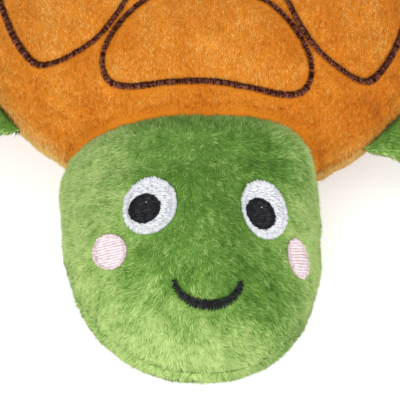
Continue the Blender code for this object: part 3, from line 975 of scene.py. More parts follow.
@dataclass
class Head:
    """The stuffed head: a rounded pillow ahead of the nod axis, and a turned back behind it."""

    half_width: float = 56.4 * MM
    half_height: float = 35.0 * MM
    reach: float = 92.0 * MM
    side_reach: float = 26.0 * MM
    left_power: float = 2.9
    right_power: float = 2.0
    chin_power: float = 2.2
    turn_angle: float = math.radians(4.3)
    lift_angle: float = math.radians(1.0)
    lean_angle: float = math.radians(9.0)
    lean_start: float = -5.0 * MM
    lean_end: float = 45.0 * MM
    pile_depth: float = 1.3 * MM
    side_depth: float = 2.0 * MM
    chin_depth: float = 0.6 * MM
    seam_draw: float = 0.8 * MM
    seam_reach: float = 3.0 * MM
    plain_tone: float = 0.47
    face_rows: int = 60
    nape_rows: int = 26
    columns: int = 96
    patch_lift: float = 1.35 * MM
    neck: Array = field(default_factory=neck_place)
    pile: Pile = Pile()
    stuffing: Stuffing = Stuffing()

    def width_share(self, across: Array, half_width: float) -> Array:
        """What is left of the head's height at a place across it: (1 - share^power)^(1 / power)."""
        reach = np.clip(np.abs(across) / half_width, 0.0, 1.0)
        power = np.where(across > 0.0, self.left_power, self.right_power)
        return (1.0 - reach ** power) ** (1.0 / power)

    def chin(self, across: Array, inset: float) -> Array:
        """Nod axis to the front edge: the straight side plus a rounded share of the rest."""
        reach = np.clip(np.abs(across) / (self.half_width - self.side_depth), 0.0, 1.0)
        round_share = (1.0 - reach ** self.chin_power) ** (1.0 / self.chin_power)
        return self.side_reach - inset + (self.reach - self.side_reach) * round_share

    def placed(self, across: Array, ahead: Array, above: Array) -> Array:
        """Row-frame points from places across, ahead of and above the nod axis.

        The face leans over about the line ahead, more towards the brow. The whole head is lifted a little
        about the nod axis, and turned with it towards the turtle's left.

        Args:
            across: Towards the turtle's left.
            ahead: Towards the chin.
            above: Up from the nod axis.

        Returns:
            Points of the same shape with x, y and z.
        """
        lean = self.lean_angle * eased(ahead, self.lean_start, self.lean_end)
        leaned_across = across * np.cos(lean) + above * np.sin(lean)
        leaned_above = above * np.cos(lean) - across * np.sin(lean)
        lift = self.lift_angle
        back = -ahead * math.cos(lift) + leaned_above * math.sin(lift)
        height = ahead * math.sin(lift) + leaned_above * math.cos(lift)
        return self.turned(leaned_across, back, height)

    def turned(self, across: Array, back: Array, height: Array) -> Array:
        """Row-frame points from places to the left, behind and above the nod axis, turned with the head."""
        turn_cos, turn_sin = math.cos(self.turn_angle), math.sin(self.turn_angle)
        level = (across * turn_cos - back * turn_sin, across * turn_sin + back * turn_cos, height)
        return self.neck + np.stack(level, axis=-1)

    def nod_places(self, points: Array) -> tuple[Array, Array]:
        """How far points lie to the left along the nod axis, and how far from it."""
        away = points - self.neck
        across = away[..., 0] * math.cos(self.turn_angle) + away[..., 1] * math.sin(self.turn_angle)
        back = away[..., 1] * math.cos(self.turn_angle) - away[..., 0] * math.sin(self.turn_angle)
        return across, np.hypot(back, away[..., 2])

    def sheet(self, layer: Layer) -> Sheet:
        """The upper or lower panel, drawn in by the depth of its pile."""
        inset = self.pile_depth
        half_width = self.half_width - self.side_depth
        across = half_width * np.sin(np.linspace(-QUARTER, QUARTER, self.columns + 1))
        radius = (self.half_height - inset) * self.width_share(across, half_width)
        face = np.linspace(QUARTER, 0.0, self.face_rows + 1)[:-1, None]
        nape = np.linspace(0.0, QUARTER, self.nape_rows + 1)[:, None]
        share = 2.0 / self.chin_power
        chin = self.chin(across, self.chin_depth)
        ahead = np.concatenate([chin * np.sin(face) ** share, -radius * np.sin(nape)])
        above = np.concatenate([radius * np.cos(face) ** share, radius * np.cos(nape)])
        drawn = self.seam_draw * (1.0 - eased(above, 0.0, self.seam_reach)) * eased(ahead, 0.0, 12.0 * MM)
        across = across * (1.0 - drawn / self.half_width)
        ahead = ahead * (1.0 - drawn / self.half_width)
        outer = self.placed(across, ahead, layer.value * np.maximum(above, SEAM_GAP / 2))
        lid = self.placed(across, ahead, np.full(ahead.shape, layer.value * SEAM_GAP / 2))
        return Sheet(outer, lid)

    def face_spots(self, across: Array, ahead: Array, lift: Array | float) -> Spots:
        """Spots over the face panel.

        Args:
            across: Towards the turtle's left.
            ahead: From the nod axis towards the chin.
            lift: How far over the ground cloth.

        Returns:
            The lifted spots.
        """
        share = np.clip(across / (self.half_width - self.side_depth), -1.0, 1.0)
        column = (np.arcsin(share) / math.pi + 0.5) * self.columns
        reach = np.clip(ahead / self.chin(across, self.chin_depth), 0.0, 1.0)
        row = (1.0 - np.arcsin(reach ** (self.chin_power / 2.0)) / QUARTER) * self.face_rows
        spots = self.upper.at(row, column)
        return Spots(spots.lifted(lift), spots.normals)

    def face_places(self, rows: Array, columns: Array) -> tuple[Array, Array]:
        """How far across and ahead the rows and columns of the upper panel lie."""
        across = (self.half_width - self.side_depth) * np.sin((columns / self.columns - 0.5) * math.pi)
        face = (1.0 - rows / self.face_rows) * QUARTER
        chin = self.chin(across, self.chin_depth)
        ahead = chin * np.sin(np.maximum(face, 0.0)) ** (2.0 / self.chin_power)
        return across, np.where(face < 0.0, face * self.half_height, ahead)

    def build(self) -> None:
        """Makes the two panels, their pile and the stitched face."""
        stitched = self.stitched_patches()
        self.upper, self.lower = (self.filled(layer, stitched) for layer in Layer)
        nodes = {"upper": ["head_upper_cover", "head_filling"], "lower": ["head_lower_cover"]}
        for seed, (name, sheet) in enumerate((("upper", self.upper), ("lower", self.lower))):
            cloth = make_cloth(f"head_{name}_cloth", sheet, GREEN)
            tint(cloth, self.tones)
            settle(cloth, "head", nodes[name])
            rows, columns = sheet.even_places(self.pile.spacing)
            spots = sheet.at(rows, columns)
            lengths = 1.12 - 0.12 * eased(rows, 0.0, self.face_rows * 0.1)
            if name == "upper":
                across, ahead = self.face_places(rows, columns)
                for patch in stitched:
                    gap = patch.edge_gap(across, ahead)
                    lengths = np.where(gap < 0.0, 0.0, lengths * (0.5 + 0.5 * eased(gap, 0.0, 2.5 * MM)))
            keep = lengths > 0.0
            nap, tones = self.nap(spots.points), self.tones(spots.points)
            # Painted shade: a darker, broken band along the chin seam on the turtle's right half, the shade
            # in the seam's crease.
            left_half = 1.0 - eased(spots.points[:, 0], -10.0 * MM, 20.0 * MM)
            crease_shade = 0.18 + 0.10 * Waves(5.0 * MM, 73).at(spots.points)
            tones = tones - crease_shade * left_half * (1.0 - eased(rows, 0.6, 2.4 if name == "upper" else 1.2))
            self.pile.grow(f"head_{name}_pile", spots.picked(keep), nap[keep], lengths[keep], tones[keep],
                           GREEN, "head", 100 + 10 * seed)
        for patch in stitched:
            patch.build(self)
        self.sew_specks()

    def filled(self, layer: Layer, stitched: list["Patch | Smile"]) -> Sheet:
        """A panel as its filling swells it, held at the neck and under the stitched face.

        Args:
            layer: Upper or lower.
            stitched: The stitched parts of the face.

        Returns:
            The panel.
        """
        sheet = self.sheet(layer)
        rows, columns = np.indices(sheet.outer.shape[:2])
        held = rows > self.face_rows - 4
        if layer is Layer.UPPER:
            across, ahead = self.face_places(rows.ravel(), columns.ravel())
            for patch in stitched:
                held |= (patch.edge_gap(across, ahead) < 0.8 * MM).reshape(held.shape)
        return self.stuffing.swell(f"head_{layer.name.lower()}", sheet, held)

    def nap(self, points: Array) -> Array:
        """The way of the nap: from the neck to the chin, and more sideways the nearer it is to a side."""
        away = points - self.neck
        down = 0.6 - 5.0 * away[:, 1] - 2.6 * (1.0 - eased(-away[:, 1], -14.0 * MM, -2.0 * MM))
        return np.stack([away[:, 0] / (28.0 * MM), -down, -0.3 * np.ones(len(points))], axis=-1)

    def tones(self, points: Array) -> Array:
        """How pale the pile is: painted sheen round the edge and the chin, and a few patches of painted
        shade.

        Args:
            points: The tufts' roots.

        Returns:
            One tone for each.
        """
        away = (points - self.neck) / MM
        across, ahead = away[:, 0], -away[:, 1]
        # Painted sheen: paler round the edge and the chin, a little less towards the turtle's right.
        side = (across - 8.0) / np.where(across < 8.0, 54.0, 50.0)
        pale = eased(np.hypot(side, np.maximum(ahead - 46.0, 0.0) / 46.0), 0.3, 0.95)
        pale = pale * (0.46 - 0.08 * eased(-across, 30.0, 50.0))
        tones = self.plain_tone + pale + 0.05 * Waves(13 * MM, 71).at(points)
        # Painted shade: darker patches where the nap points towards the front.
        nap_shade_patches = (((8, 8), 17, 0.03), ((-30, 66), 12, 0.10), ((36, 67), 15, 0.36), ((37, 8), 13, 0.30))
        for middle, size, depth in nap_shade_patches:
            gap = np.hypot(across - middle[0], ahead - middle[1]) / size
            tones = tones - depth * np.exp(-gap ** 2)
        return tones

    def stitched_patches(self) -> list["Patch | Smile"]:
        """The eyes, cheeks and smile: each patch's middle, half sizes and lean on the face."""
        low, high = self.patch_lift - 0.3 * MM, self.patch_lift + 0.4 * MM
        ring, iris, hem = 2.0 * MM, 1.3 * MM, 0.8 * MM
        whites, pupils = (WHITE, self.patch_lift, ring), (BLACK, high, iris)
        cheeks = (PINK, low, hem, CHEEK_ROWS)
        return [
            Patch("left_eye_white", 26.4 * MM, 30.5 * MM, 9.9 * MM, 13.2 * MM, -8.8, -7.0, *whites),
            Patch("right_eye_white", -20.8 * MM, 28.7 * MM, 10.6 * MM, 14.0 * MM, -24.6, 8.4, *whites),
            Patch("left_pupil", 24.2 * MM, 32.8 * MM, 6.1 * MM, 6.9 * MM, -10.0, -6.4, *pupils),
            Patch("right_pupil", -23.2 * MM, 30.4 * MM, 6.1 * MM, 7.2 * MM, -33.0, 9.4, *pupils),
            Patch("left_cheek", 39.8 * MM, 47.9 * MM, 4.9 * MM, 7.9 * MM, 7.0, -18.8, *cheeks),
            Patch("right_cheek", -38.2 * MM, 46.0 * MM, 6.2 * MM, 8.1 * MM, 20.7, 4.0, *cheeks),
            Smile(),
        ]

    def sew_specks(self) -> None:
        """One short white stitch on each pupil, as a glint."""
        steps = np.linspace(-0.36 * MM, 0.36 * MM, 5)[None, :]
        for side, across, ahead in ((Side.LEFT, 24.8 * MM, 30.3 * MM), (Side.RIGHT, -22.0 * MM, 28.0 * MM)):
            spots = self.face_spots(across + steps, ahead + 0.3 * steps, self.patch_lift + 0.85 * MM)
            name = f"{side.name.lower()}_speck"
            piece = Satin(half_width=0.16 * MM).sew(name, [spots.points], [spots.normals], WHITE, 3)
            settle(piece, "head", [])


@dataclass
class Patch:
    """An oval of satin stitching: level rows of thread inside a border of threads that point outwards.

    Its lean, in degrees, is towards the turtle's left at its lower end, and its rows are turned by their
    own angle, ahead at the turtle's left.
    """

    name: str
    across: float
    ahead: float
    half_width: float
    half_length: float
    lean: float
    row_turn: float
    finish: ThreadFinish
    lift: float
    border: float
    rows_satin: Satin = FILL_ROWS
    satin: Satin = Satin(half_width=0.17 * MM, height=0.15 * MM, pitch=0.30 * MM, shades=(0.0, 0.7))
    crown: float = 0.14 * MM

    def face_places(self, wide: Array, long: Array) -> tuple[Array, Array]:
        """Places across and ahead on the face, from places along the oval's own short and long axes."""
        lean_cos, lean_sin = math.cos(math.radians(self.lean)), math.sin(math.radians(self.lean))
        return (self.across + wide * lean_cos + long * lean_sin,
                self.ahead + long * lean_cos - wide * lean_sin)

    def edge_gap(self, across: Array, ahead: Array) -> Array:
        """How far places on the face lie outside the oval's edge, about; inside it is below zero."""
        lean_cos, lean_sin = math.cos(math.radians(self.lean)), math.sin(math.radians(self.lean))
        right, below = across - self.across, ahead - self.ahead
        wide, long = right * lean_cos - below * lean_sin, below * lean_cos + right * lean_sin
        return (np.hypot(wide / self.half_width, long / self.half_length) - 1.0) * self.half_width

    def build(self, head: Head) -> None:
        """Sews the patch: a padded ground, its rows and its border."""
        parts = (("rows", self.rows_satin, self.rows()), ("stitches", self.satin, self.spokes()))
        for part, satin, (wide, long, lift) in parts:
            spots = head.face_spots(*self.face_places(wide, long), self.lift + lift)
            name, seed = f"{self.name}_{part}", len(self.name)
            piece = satin.sew(name, [spots.points], [spots.normals], self.finish, seed)
            settle(piece, "head", [self.name] if part == "stitches" else [])
        self.ground(head)

    def ground(self, head: Head) -> None:
        """The padding under the threads: rings of points from the oval's edge over its crown."""
        turns = np.linspace(0.0, math.tau, 73)[:-1]
        shares = np.array((0.985, 0.985, 0.9, 0.6, 0.3, 0.02))[:, None]
        lifts = np.array((-1.6 * MM, -0.1 * MM, 0.0, 0.0, 0.0, 0.0))[:, None]
        wide = self.half_width * shares * np.sin(turns)
        long = self.half_length * shares * np.cos(turns)
        spots = head.face_spots(*self.face_places(wide, long), self.lift + lifts * np.ones_like(wide))
        rings, sides = wide.shape
        index = np.arange(rings * sides).reshape(rings, sides)
        quads = grid_quads(np.concatenate([index, index[:, :1]], axis=1))
        caps = [index[-1][None, :], index[0][None, ::-1]]
        piece = new_piece(f"{self.name}_ground", spots.points.reshape(-1, 3), [quads[:, ::-1], *caps],
                          self.finish.thread())
        # Painted shade: the padding takes a darker colour than the threads, for the shade in the gaps between
        # them.
        store(piece, "shade", np.full(rings * sides, -0.5))
        store(piece, "reach", np.full(rings * sides, 0.5))
        recalculate(piece)
        settle(piece, "head", [])

    def rows(self) -> tuple[Array, Array, Array]:
        """Level rows inside the border, each a chord of the oval.

        A row is a chord of the unit circle, which the oval's half sizes stretch. Its way there is the row's
        way divided by the half sizes, and rows are one pitch apart after the stretch.

        Returns:
            Places along the short and long axes, and the lift of each over the patch.
        """
        draw = np.random.default_rng(len(self.name) + 7)
        half = np.array((self.half_width, self.half_length)) - self.border * 0.4
        angle = math.radians(self.lean + self.row_turn)
        way = unit(np.array((math.cos(angle), math.sin(angle))) / half)
        over = np.array((-way[1], way[0]))
        places = np.arange(-1.0, 1.0, self.rows_satin.pitch * float(np.linalg.norm(over / half)))[1:, None]
        steps = np.linspace(-1.0, 1.0, 33)
        bow = 0.10 * (1.0 - steps ** 2) * eased(places, -0.6, 0.9)
        waver = 0.012 * np.cos(steps * 5.0 + draw.uniform(0, 6.3, places.shape))
        along = np.sqrt(1.0 - places ** 2) * steps
        off = places * (1.0 - bow * 0.5) + bow + waver
        wide, long = ((way[axis] * along + over[axis] * off) * half[axis] for axis in (0, 1))
        ends = np.cos(along * half[0] / (1.1 * MM) + draw.uniform(0.0, 6.3, places.shape)) ** 6
        lift = -0.10 * MM + 0.03 * MM * draw.uniform(-1.0, 1.0, wide.shape) - 0.08 * MM * ends
        return wide, long, lift

    def spokes(self) -> tuple[Array, Array, Array]:
        """The border: threads from just inside it out to the edge, in a low roll.

        Returns:
            Places along the short and long axes, and the lift of each over the patch.
        """
        draw = np.random.default_rng(len(self.name) + 9)
        length = math.tau * math.hypot(self.half_width, self.half_length) / math.sqrt(2.0)
        count = int(length / self.satin.pitch)
        turns = np.linspace(0.0, math.tau, count + 1)[:-1, None] + draw.normal(0.0, 0.004, (count, 1))
        steps = np.linspace(0.0, 1.0, 7)
        start = 1.0 - self.border / self.half_width * draw.uniform(0.85, 1.08, (count, 1))
        ragged = np.repeat(draw.uniform(-1.0, 0.8, count // 2 + 1), 2)[:count, None]
        end = 1.0 + 0.5 * MM / self.half_width * ragged
        share = start + (end - start) * steps
        lift = self.crown * np.sin(math.pi * (0.12 + 0.88 * steps)) ** 0.7 * np.ones_like(share)
        lean = turns + 0.02 * (steps - 0.5)
        return self.half_width * share * np.sin(lean), self.half_length * share * np.cos(lean), lift


@dataclass
class Smile:
    """The smile: half an oval of threads laid across it, longest in its middle, with ragged ends."""

    centre: float = 0.3 * MM
    half_width: float = 13.5 * MM
    reach: float = 62.1 * MM
    depth: float = 9.9 * MM
    end_width: float = 2.2 * MM
    middle_width: float = 4.2 * MM
    lip_angle: float = math.radians(88.0)
    lift: float = 1.25 * MM
    satin: Satin = Satin(shades=(0.0, 0.6))

    def line(self, count: int) -> tuple[Array, Array, Array, Array]:
        """The middle line of the smile on the face, evened by length, and the way across it.

        Args:
            count: How many stations it has.

        Returns:
            Places across and ahead of each station, the angle there, and unit ways square to the line.
        """
        fine = np.linspace(-self.lip_angle, self.lip_angle, 401)
        across, ahead = self.half_width * np.sin(fine), self.depth * np.cos(fine)
        lengths = np.concatenate([[0.0], np.cumsum(np.hypot(np.diff(across), np.diff(ahead)))])
        turns = np.interp(np.linspace(0.0, lengths[-1], count), lengths, fine)
        across, ahead = self.centre + self.half_width * np.sin(turns), self.reach + self.depth * np.cos(turns)
        outward = np.stack([self.depth * np.sin(turns), self.half_width * np.cos(turns)], axis=-1)
        return across, ahead, turns, unit(outward)

    def widths(self, turns: Array) -> Array:
        """The smile's width at each angle: the end's, plus the rest times the cosine."""
        return self.end_width + (self.middle_width - self.end_width) * np.cos(turns)

    def edge_gap(self, across: Array, ahead: Array) -> Array:
        """How far places on the face lie outside the smile's edge."""
        x, y, turns, _ = self.line(120)
        gaps = np.hypot(across[:, None] - x, ahead[:, None] - y) - self.widths(turns) / 2.0
        return gaps.min(axis=1)

    def build(self, head: Head) -> None:
        """Sews the threads of the smile."""
        draw = np.random.default_rng(31)
        count = int(34 * MM / (self.satin.pitch * 0.95))
        x, y, turns, ways = self.line(count)
        half = self.widths(turns) / 2.0
        inner = -half * draw.uniform(0.80, 1.15, count)
        outer = half * draw.uniform(0.80, 1.28, count)
        steps = np.linspace(0.0, 1.0, 7)
        place = inner[:, None] + (outer - inner)[:, None] * steps
        slant = 0.35 * MM * draw.normal(0.0, 1.0, (count, 1)) * (steps - 0.5)
        across = x[:, None] + ways[:, :1] * place + ways[:, 1:] * slant
        ahead = y[:, None] + ways[:, 1:] * place - ways[:, :1] * slant
        lift = self.lift + 0.45 * MM * np.sin(math.pi * (0.1 + 0.8 * steps))
        spots = head.face_spots(across, ahead, np.broadcast_to(lift, across.shape))
        piece = self.satin.sew("smile_stitches", [spots.points], [spots.normals], BLACK, 33)
        settle(piece, "head", ["smile"])


def recalculate(piece: bpy.types.Object) -> None:
    """Turns a closed piece's faces outwards."""
    shape = bmesh.new()
    shape.from_mesh(piece.data)
    bmesh.ops.recalc_face_normals(shape, faces=shape.faces[:])
    shape.to_mesh(piece.data)
    shape.free()


@dataclass
class Scute:
    """One closed outline stitched on the carapace, from the shares of its corners."""

    name: str
    corner_shares: Array
    shift: float = 0.0
    count: int = 400

    def plan(self, shell: "Shell") -> Array:
        """The outline's points seen from above: a smooth curve through its corners, evened by length.

        Args:
            shell: The shell, which gives the pattern's size, drift and turn.

        Returns:
            Points of shape (count, 2).
        """
        corners = np.array(self.corner_shares) * (shell.half_width, shell.half_length)
        before, after, beyond = (np.roll(corners, -step, axis=0) for step in (-1, 1, 2))
        part = np.linspace(0.0, 1.0, 9)[:-1, None, None]
        curve = 0.5 * (2 * corners + (after - before) * part
                       + (2 * before - 5 * corners + 4 * after - beyond) * part ** 2
                       + (3 * corners - before - 3 * after + beyond) * part ** 3)
        curve = curve.transpose(1, 0, 2).reshape(-1, 2)
        curve = np.concatenate([curve, curve[:1]])
        lengths = np.concatenate([[0.0], np.cumsum(np.linalg.norm(np.diff(curve, axis=0), axis=1))])
        stations = np.linspace(0.0, lengths[-1], self.count + 1)[:-1]
        level = np.stack([np.interp(stations, lengths, curve[:, axis]) for axis in (0, 1)], axis=-1)
        turn = np.array(((math.cos(shell.scute_turn), -math.sin(shell.scute_turn)),
                         (math.sin(shell.scute_turn), math.cos(shell.scute_turn))))
        return level @ turn + (shell.scute_drift + self.shift, shell.scute_set_back)


END_SCUTE_SHARES = (
    (0.0, 0.712), (0.15, 0.720), (0.285, 0.728), (0.368, 0.702), (0.396, 0.632), (0.372, 0.556),
    (0.308, 0.472), (0.213, 0.400), (0.10, 0.379), (0.0, 0.375),
)
CENTRE_SCUTE_SHARES = (
    (0.0, 0.338), (0.12, 0.340), (0.215, 0.325), (0.275, 0.25), (0.340, 0.13), (0.378, 0.0),
)
SIDE_SCUTE_SHARES = (
    (0.272, 0.330), (0.303, 0.393), (0.356, 0.480), (0.430, 0.560), (0.530, 0.606), (0.600, 0.612),
    (0.645, 0.584), (0.696, 0.510), (0.739, 0.415), (0.785, 0.270), (0.805, 0.120), (0.770, 0.030),
    (0.660, 0.020), (0.530, 0.020), (0.435, 0.035), (0.388, 0.110), (0.330, 0.220),
)


@dataclass
class Shell:
    """The stuffed shell: a domed carapace and a flatter belly, cut by the seat of the head."""

    half_width: float
    half_length: float
    rim_height: float
    dome_height: float
    dome_power: float = 2.2
    belly_power: float = 4.0
    belly_flat: float = 0.5 * MM
    pile_depth: float = 1.3 * MM
    neck_gap: float = 0.5 * MM
    seat_margin: float = 4.0 * MM
    scute_drift: float = 4.1 * MM
    scute_turn: float = math.radians(1.7)
    cord_width: float = 2.7 * MM
    scute_set_back: float = 1.1 * MM
    front_scute_drift: float = 0.4 * MM
    right_spread_share: float = 0.16
    seam_draw: float = 0.3 * MM
    seam_reach: float = 4.0 * MM
    plain_tone: float = 0.42
    line_sink: float = 0.8 * MM
    line_reach: float = 3.2 * MM
    dome_count: int = 131
    belly_count: int = 91
    pile: Pile = Pile(spacing=0.66 * MM, length=2.0 * MM, half_width=0.26 * MM, crest=0.15 * MM,
                      lay_angle=math.radians(20.0), clump_tone=0.05, fuzz_share=0.02)
    satin: Satin = Satin(half_width=0.22 * MM, height=0.19 * MM, pitch=0.40 * MM)
    stuffing: Stuffing = Stuffing()

    @classmethod
    def from_frame(cls) -> "Shell":
        """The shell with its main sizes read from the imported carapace."""
        low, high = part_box("carapace_cover")
        rim = low.z - SEAM_GAP / 2
        return cls(high.x, high.y, rim, high.z - rim)

    def outline(self, count: int, height: float, power: float) -> tuple[Array, Array]:
        """A dome or belly over the disc grid: spread = sin(tilt)^(2 / power), rise = height cos(tilt).

        Args:
            count: Points along each side of the grid.
            height: Height of the pole over the rim; below zero for the belly.
            power: How boxy the form is.

        Returns:
            The outer grid and the lid's.
        """
        x, y = disc_grid(count)
        radius = np.hypot(x, y)
        tilt = np.minimum(radius, 1.0) * QUARTER
        spread = np.sin(tilt) ** (2.0 / power) / np.maximum(radius, TINY)
        rise = np.maximum((abs(height) - self.pile_depth) * np.cos(tilt), SEAM_GAP / 2)
        rise = np.minimum(rise, self.rim_height - self.pile_depth) if height < 0 else rise
        drawn = self.pile_depth + self.seam_draw * (1.0 - eased(rise, 0.0, self.seam_reach))
        across = (self.half_width - drawn) * x * spread
        along = (self.half_length - drawn) * y * spread
        sign = math.copysign(1.0, height)
        outer = np.stack([across, along, self.rim_height + sign * rise], axis=-1)
        lid = np.stack([across, along, np.full_like(rise, self.rim_height + sign * SEAM_GAP / 2)], axis=-1)
        return outer, lid

    def carapace(self, head: Head) -> Sheet:
        """The dome, drawn down along the stitched outlines and swollen between them."""
        outer, lid = self.outline(self.dome_count, self.dome_height, self.dome_power)
        plain = Sheet(outer, lid)
        distance, _ = nearest_line(outer[..., :2].reshape(-1, 2), self.lines[::2])
        distance = distance.reshape(outer.shape[:2])
        sink = self.line_sink * np.exp(-(distance / self.line_reach) ** 2)
        sink[[0, -1], :] = 0.0
        sink[:, [0, -1]] = 0.0
        sunk = Sheet(Spots(outer, plain.grid_normals()).lifted(-sink), lid)
        held = (distance < 2.0 * MM) | self.in_seat(outer, head, self.seat_margin)
        return self.stuffing.swell("carapace", sunk, held)

    def underside(self, head: Head) -> Sheet:
        """The belly, which swells only where it doesn't rest on the floor."""
        height = -self.rim_height - self.belly_flat
        cut = Sheet(*self.outline(self.belly_count, height, self.belly_power))
        resting = cut.outer[..., 2] < self.pile_depth + 2.0 * MM
        held = resting | self.in_seat(cut.outer, head, self.seat_margin)
        return self.stuffing.swell("belly", cut, held)

    def spots_over(self, plan: Array, lift: Array | float) -> Spots:
        """Spots on the carapace over points of its plan.

        Args:
            plan: Points seen from above, x and y last.
            lift: How far over the ground cloth.

        Returns:
            The lifted spots.
        """
        wide = plan[..., 0] / (self.half_width - self.pile_depth)
        deep = plan[..., 1] / (self.half_length - self.pile_depth)
        spread = np.clip(np.hypot(wide, deep), TINY, 1.0)
        radius = np.arcsin(spread ** (self.dome_power / 2.0)) / QUARTER
        across, along = grid_from_disc(wide / spread * radius, deep / spread * radius)
        last = self.dome_count - 1
        spots = self.dome.at((along + 1.0) / 2.0 * last, (across + 1.0) / 2.0 * last)
        return Spots(spots.lifted(lift), spots.normals)

    def in_seat(self, points: Array, head: Head, margin: float = 0.0) -> Array:
        """Which points lie inside the space that the head's turned back takes, or within a margin of it."""
        across, distance = head.nod_places(points)
        gap = self.neck_gap + margin
        return distance < (head.half_height + gap) * head.width_share(across, head.half_width + gap)

    def seat_cutter(self, head: Head) -> bpy.types.Object:
        """A closed body turned about the nod axis, a gap larger than the head's back."""
        half_width = head.half_width + self.neck_gap
        across = half_width * np.sin(np.linspace(-QUARTER, QUARTER, 65))[1:-1, None]
        radius = (head.half_height + self.neck_gap) * head.width_share(across, half_width)
        turns = np.linspace(0.0, math.tau, 97)[:-1]
        points = head.turned(across * np.ones_like(turns), radius * np.cos(turns), radius * np.sin(turns))
        index = np.arange(points.size // 3).reshape(points.shape[:2])
        faces = [grid_quads(np.concatenate([index, index[:, :1]], axis=1)), index[:1], index[-1:]]
        cutter = new_piece("seat_cutter", points.reshape(-1, 3), faces, ORANGE.cloth())
        recalculate(cutter)
        return cutter

    def build(self, head: Head) -> None:
        """Makes the carapace, the belly, their pile and the stitched outlines."""
        self.scutes = self.pattern()
        self.plans = {scute.name: scute.plan(self) for scute in self.scutes}
        self.lines = np.concatenate(list(self.plans.values()))
        self.dome, self.belly = self.carapace(head), self.underside(head)
        cutter = self.seat_cutter(head)
        for name, sheet, nodes in (("carapace", self.dome, ["carapace_cover", "body_filling"]),
                                   ("belly", self.belly, ["belly_cover"])):
            cloth = make_cloth(f"{name}_cloth", sheet, ORANGE)
            cut_with(cloth, cutter)
            tint(cloth, self.tones)
            settle(cloth, "shell", nodes)
        bpy.data.objects.remove(cutter, do_unlink=True)
        self.grow_carapace(head)
        self.grow_belly(head)
        for scute in self.scutes:
            self.sew(scute)

    def grow_carapace(self, head: Head) -> None:
        """The pile of the carapace, in a left and a right piece, parted along the stitched outlines."""
        rows, columns = self.dome.even_places(self.pile.spacing)
        spots = self.dome.at(rows, columns)
        distance, away = nearest_line(spots.points[:, :2], self.lines)
        keep = (distance > self.cord_width * 0.42) & ~self.in_seat(spots.points, head, 1.0 * MM)
        outward = np.pad(unit(away), ((0, 0), (0, 1)))
        lean = (1.0 - eased(distance, self.cord_width * 0.4, self.cord_width * 1.3))[:, None]
        nap = self.nap(spots.points) + outward * 1.3 * lean + self.over_rim(spots.points, -1.0)
        lengths = 0.62 + 0.38 * eased(distance, self.cord_width * 0.5, self.cord_width * 1.5)
        lengths = lengths * (1.0 - 0.4 * self.in_seat(spots.points, head, 3.0 * MM))
        lengths = lengths * (1.0 + 0.3 * self.near_rim(spots.points))
        tones = self.tones(spots.points) + 0.12 * self.in_scutes(spots.points)
        # Painted shadow: darker in two steps near the head's seat, the contact shadow where the head meets
        # the shell.
        for margin in (2.5 * MM, 4.5 * MM):
            tones = tones - 0.10 * self.in_seat(spots.points, head, margin)
        stand = 0.5 * self.near_rim(spots.points)
        for number, side in enumerate(Side):
            for end, sign in (("front", -1.0), ("rear", 1.0)):
                part = keep & (spots.points[:, 0] * side.value > 0.0) & (spots.points[:, 1] * sign > 0.0)
                self.pile.grow(f"carapace_pile_{end}_{side.name.lower()}", spots.picked(part), nap[part],
                               lengths[part], tones[part], ORANGE, "shell", 200 + 20 * number + int(sign),
                               stand[part])

    def grow_belly(self, head: Head) -> None:
        """The pile of the belly, pressed flat where it rests."""
        rows, columns = self.belly.even_places(self.pile.spacing * 1.18)
        spots = self.belly.at(rows, columns)
        keep = ~self.in_seat(spots.points, head)
        pressed = 1.1 - 0.5 * eased(-spots.normals[:, 2], 0.85, 0.99) + 0.2 * self.near_rim(spots.points)
        nap = np.array((0.0, 1.0, -0.1)) + spots.points * (6.0, 2.0, 0.0) + self.over_rim(spots.points, 1.0)
        tones = self.tones(spots.points)
        for side in Side:
            part = keep & (spots.points[:, 0] * side.value > 0.0)
            self.pile.grow(f"belly_pile_{side.name.lower()}", spots.picked(part), nap[part], pressed[part],
                           tones[part], ORANGE, "shell", 260 + 10 * int(side.value))

    def over_rim(self, points: Array, upwards: float) -> Array:
        """What bends the nap out over the rim seam, so that the pile of both covers closes it."""
        out = unit(points / (self.half_width ** 2, self.half_length ** 2, 1.0) * (1.0, 1.0, 0.0))
        return (out * 0.5 + UP * upwards * 2.0) * self.near_rim(points)[:, None]

    def near_rim(self, points: Array) -> Array:
        """How near points lie to the rim seam: 1 on it, 0 from twice its reach on."""
        return 1.0 - eased(np.abs(points[:, 2] - self.rim_height), 0.0, 2.0 * self.seam_reach)

    def tones(self, points: Array) -> Array:
        """How pale the pile is: paler towards the rim and under it as painted light and sheen, lighter
        towards the turtle's right as painted light, with broad random patches.
        """
        front = eased(-points[:, 1], -20.0 * MM, 60.0 * MM)
        # Painted light and sheen: paler near the rim and on the strip under it, most at the front.
        rim = (0.10 + 0.18 * front) * (1.0 - eased(np.abs(points[:, 2] - self.rim_height), 0.0, 14 * MM))
        under = (0.08 + 0.26 * front) * (points[:, 2] < self.rim_height)
        # Painted light: lighter towards the turtle's right, where the key lamp shines from, darker towards
        # its left.
        painted_side_light = -0.07 * points[:, 0] / self.half_width
        return self.plain_tone + rim + under + painted_side_light + 0.035 * Waves(24 * MM, 81).at(points)

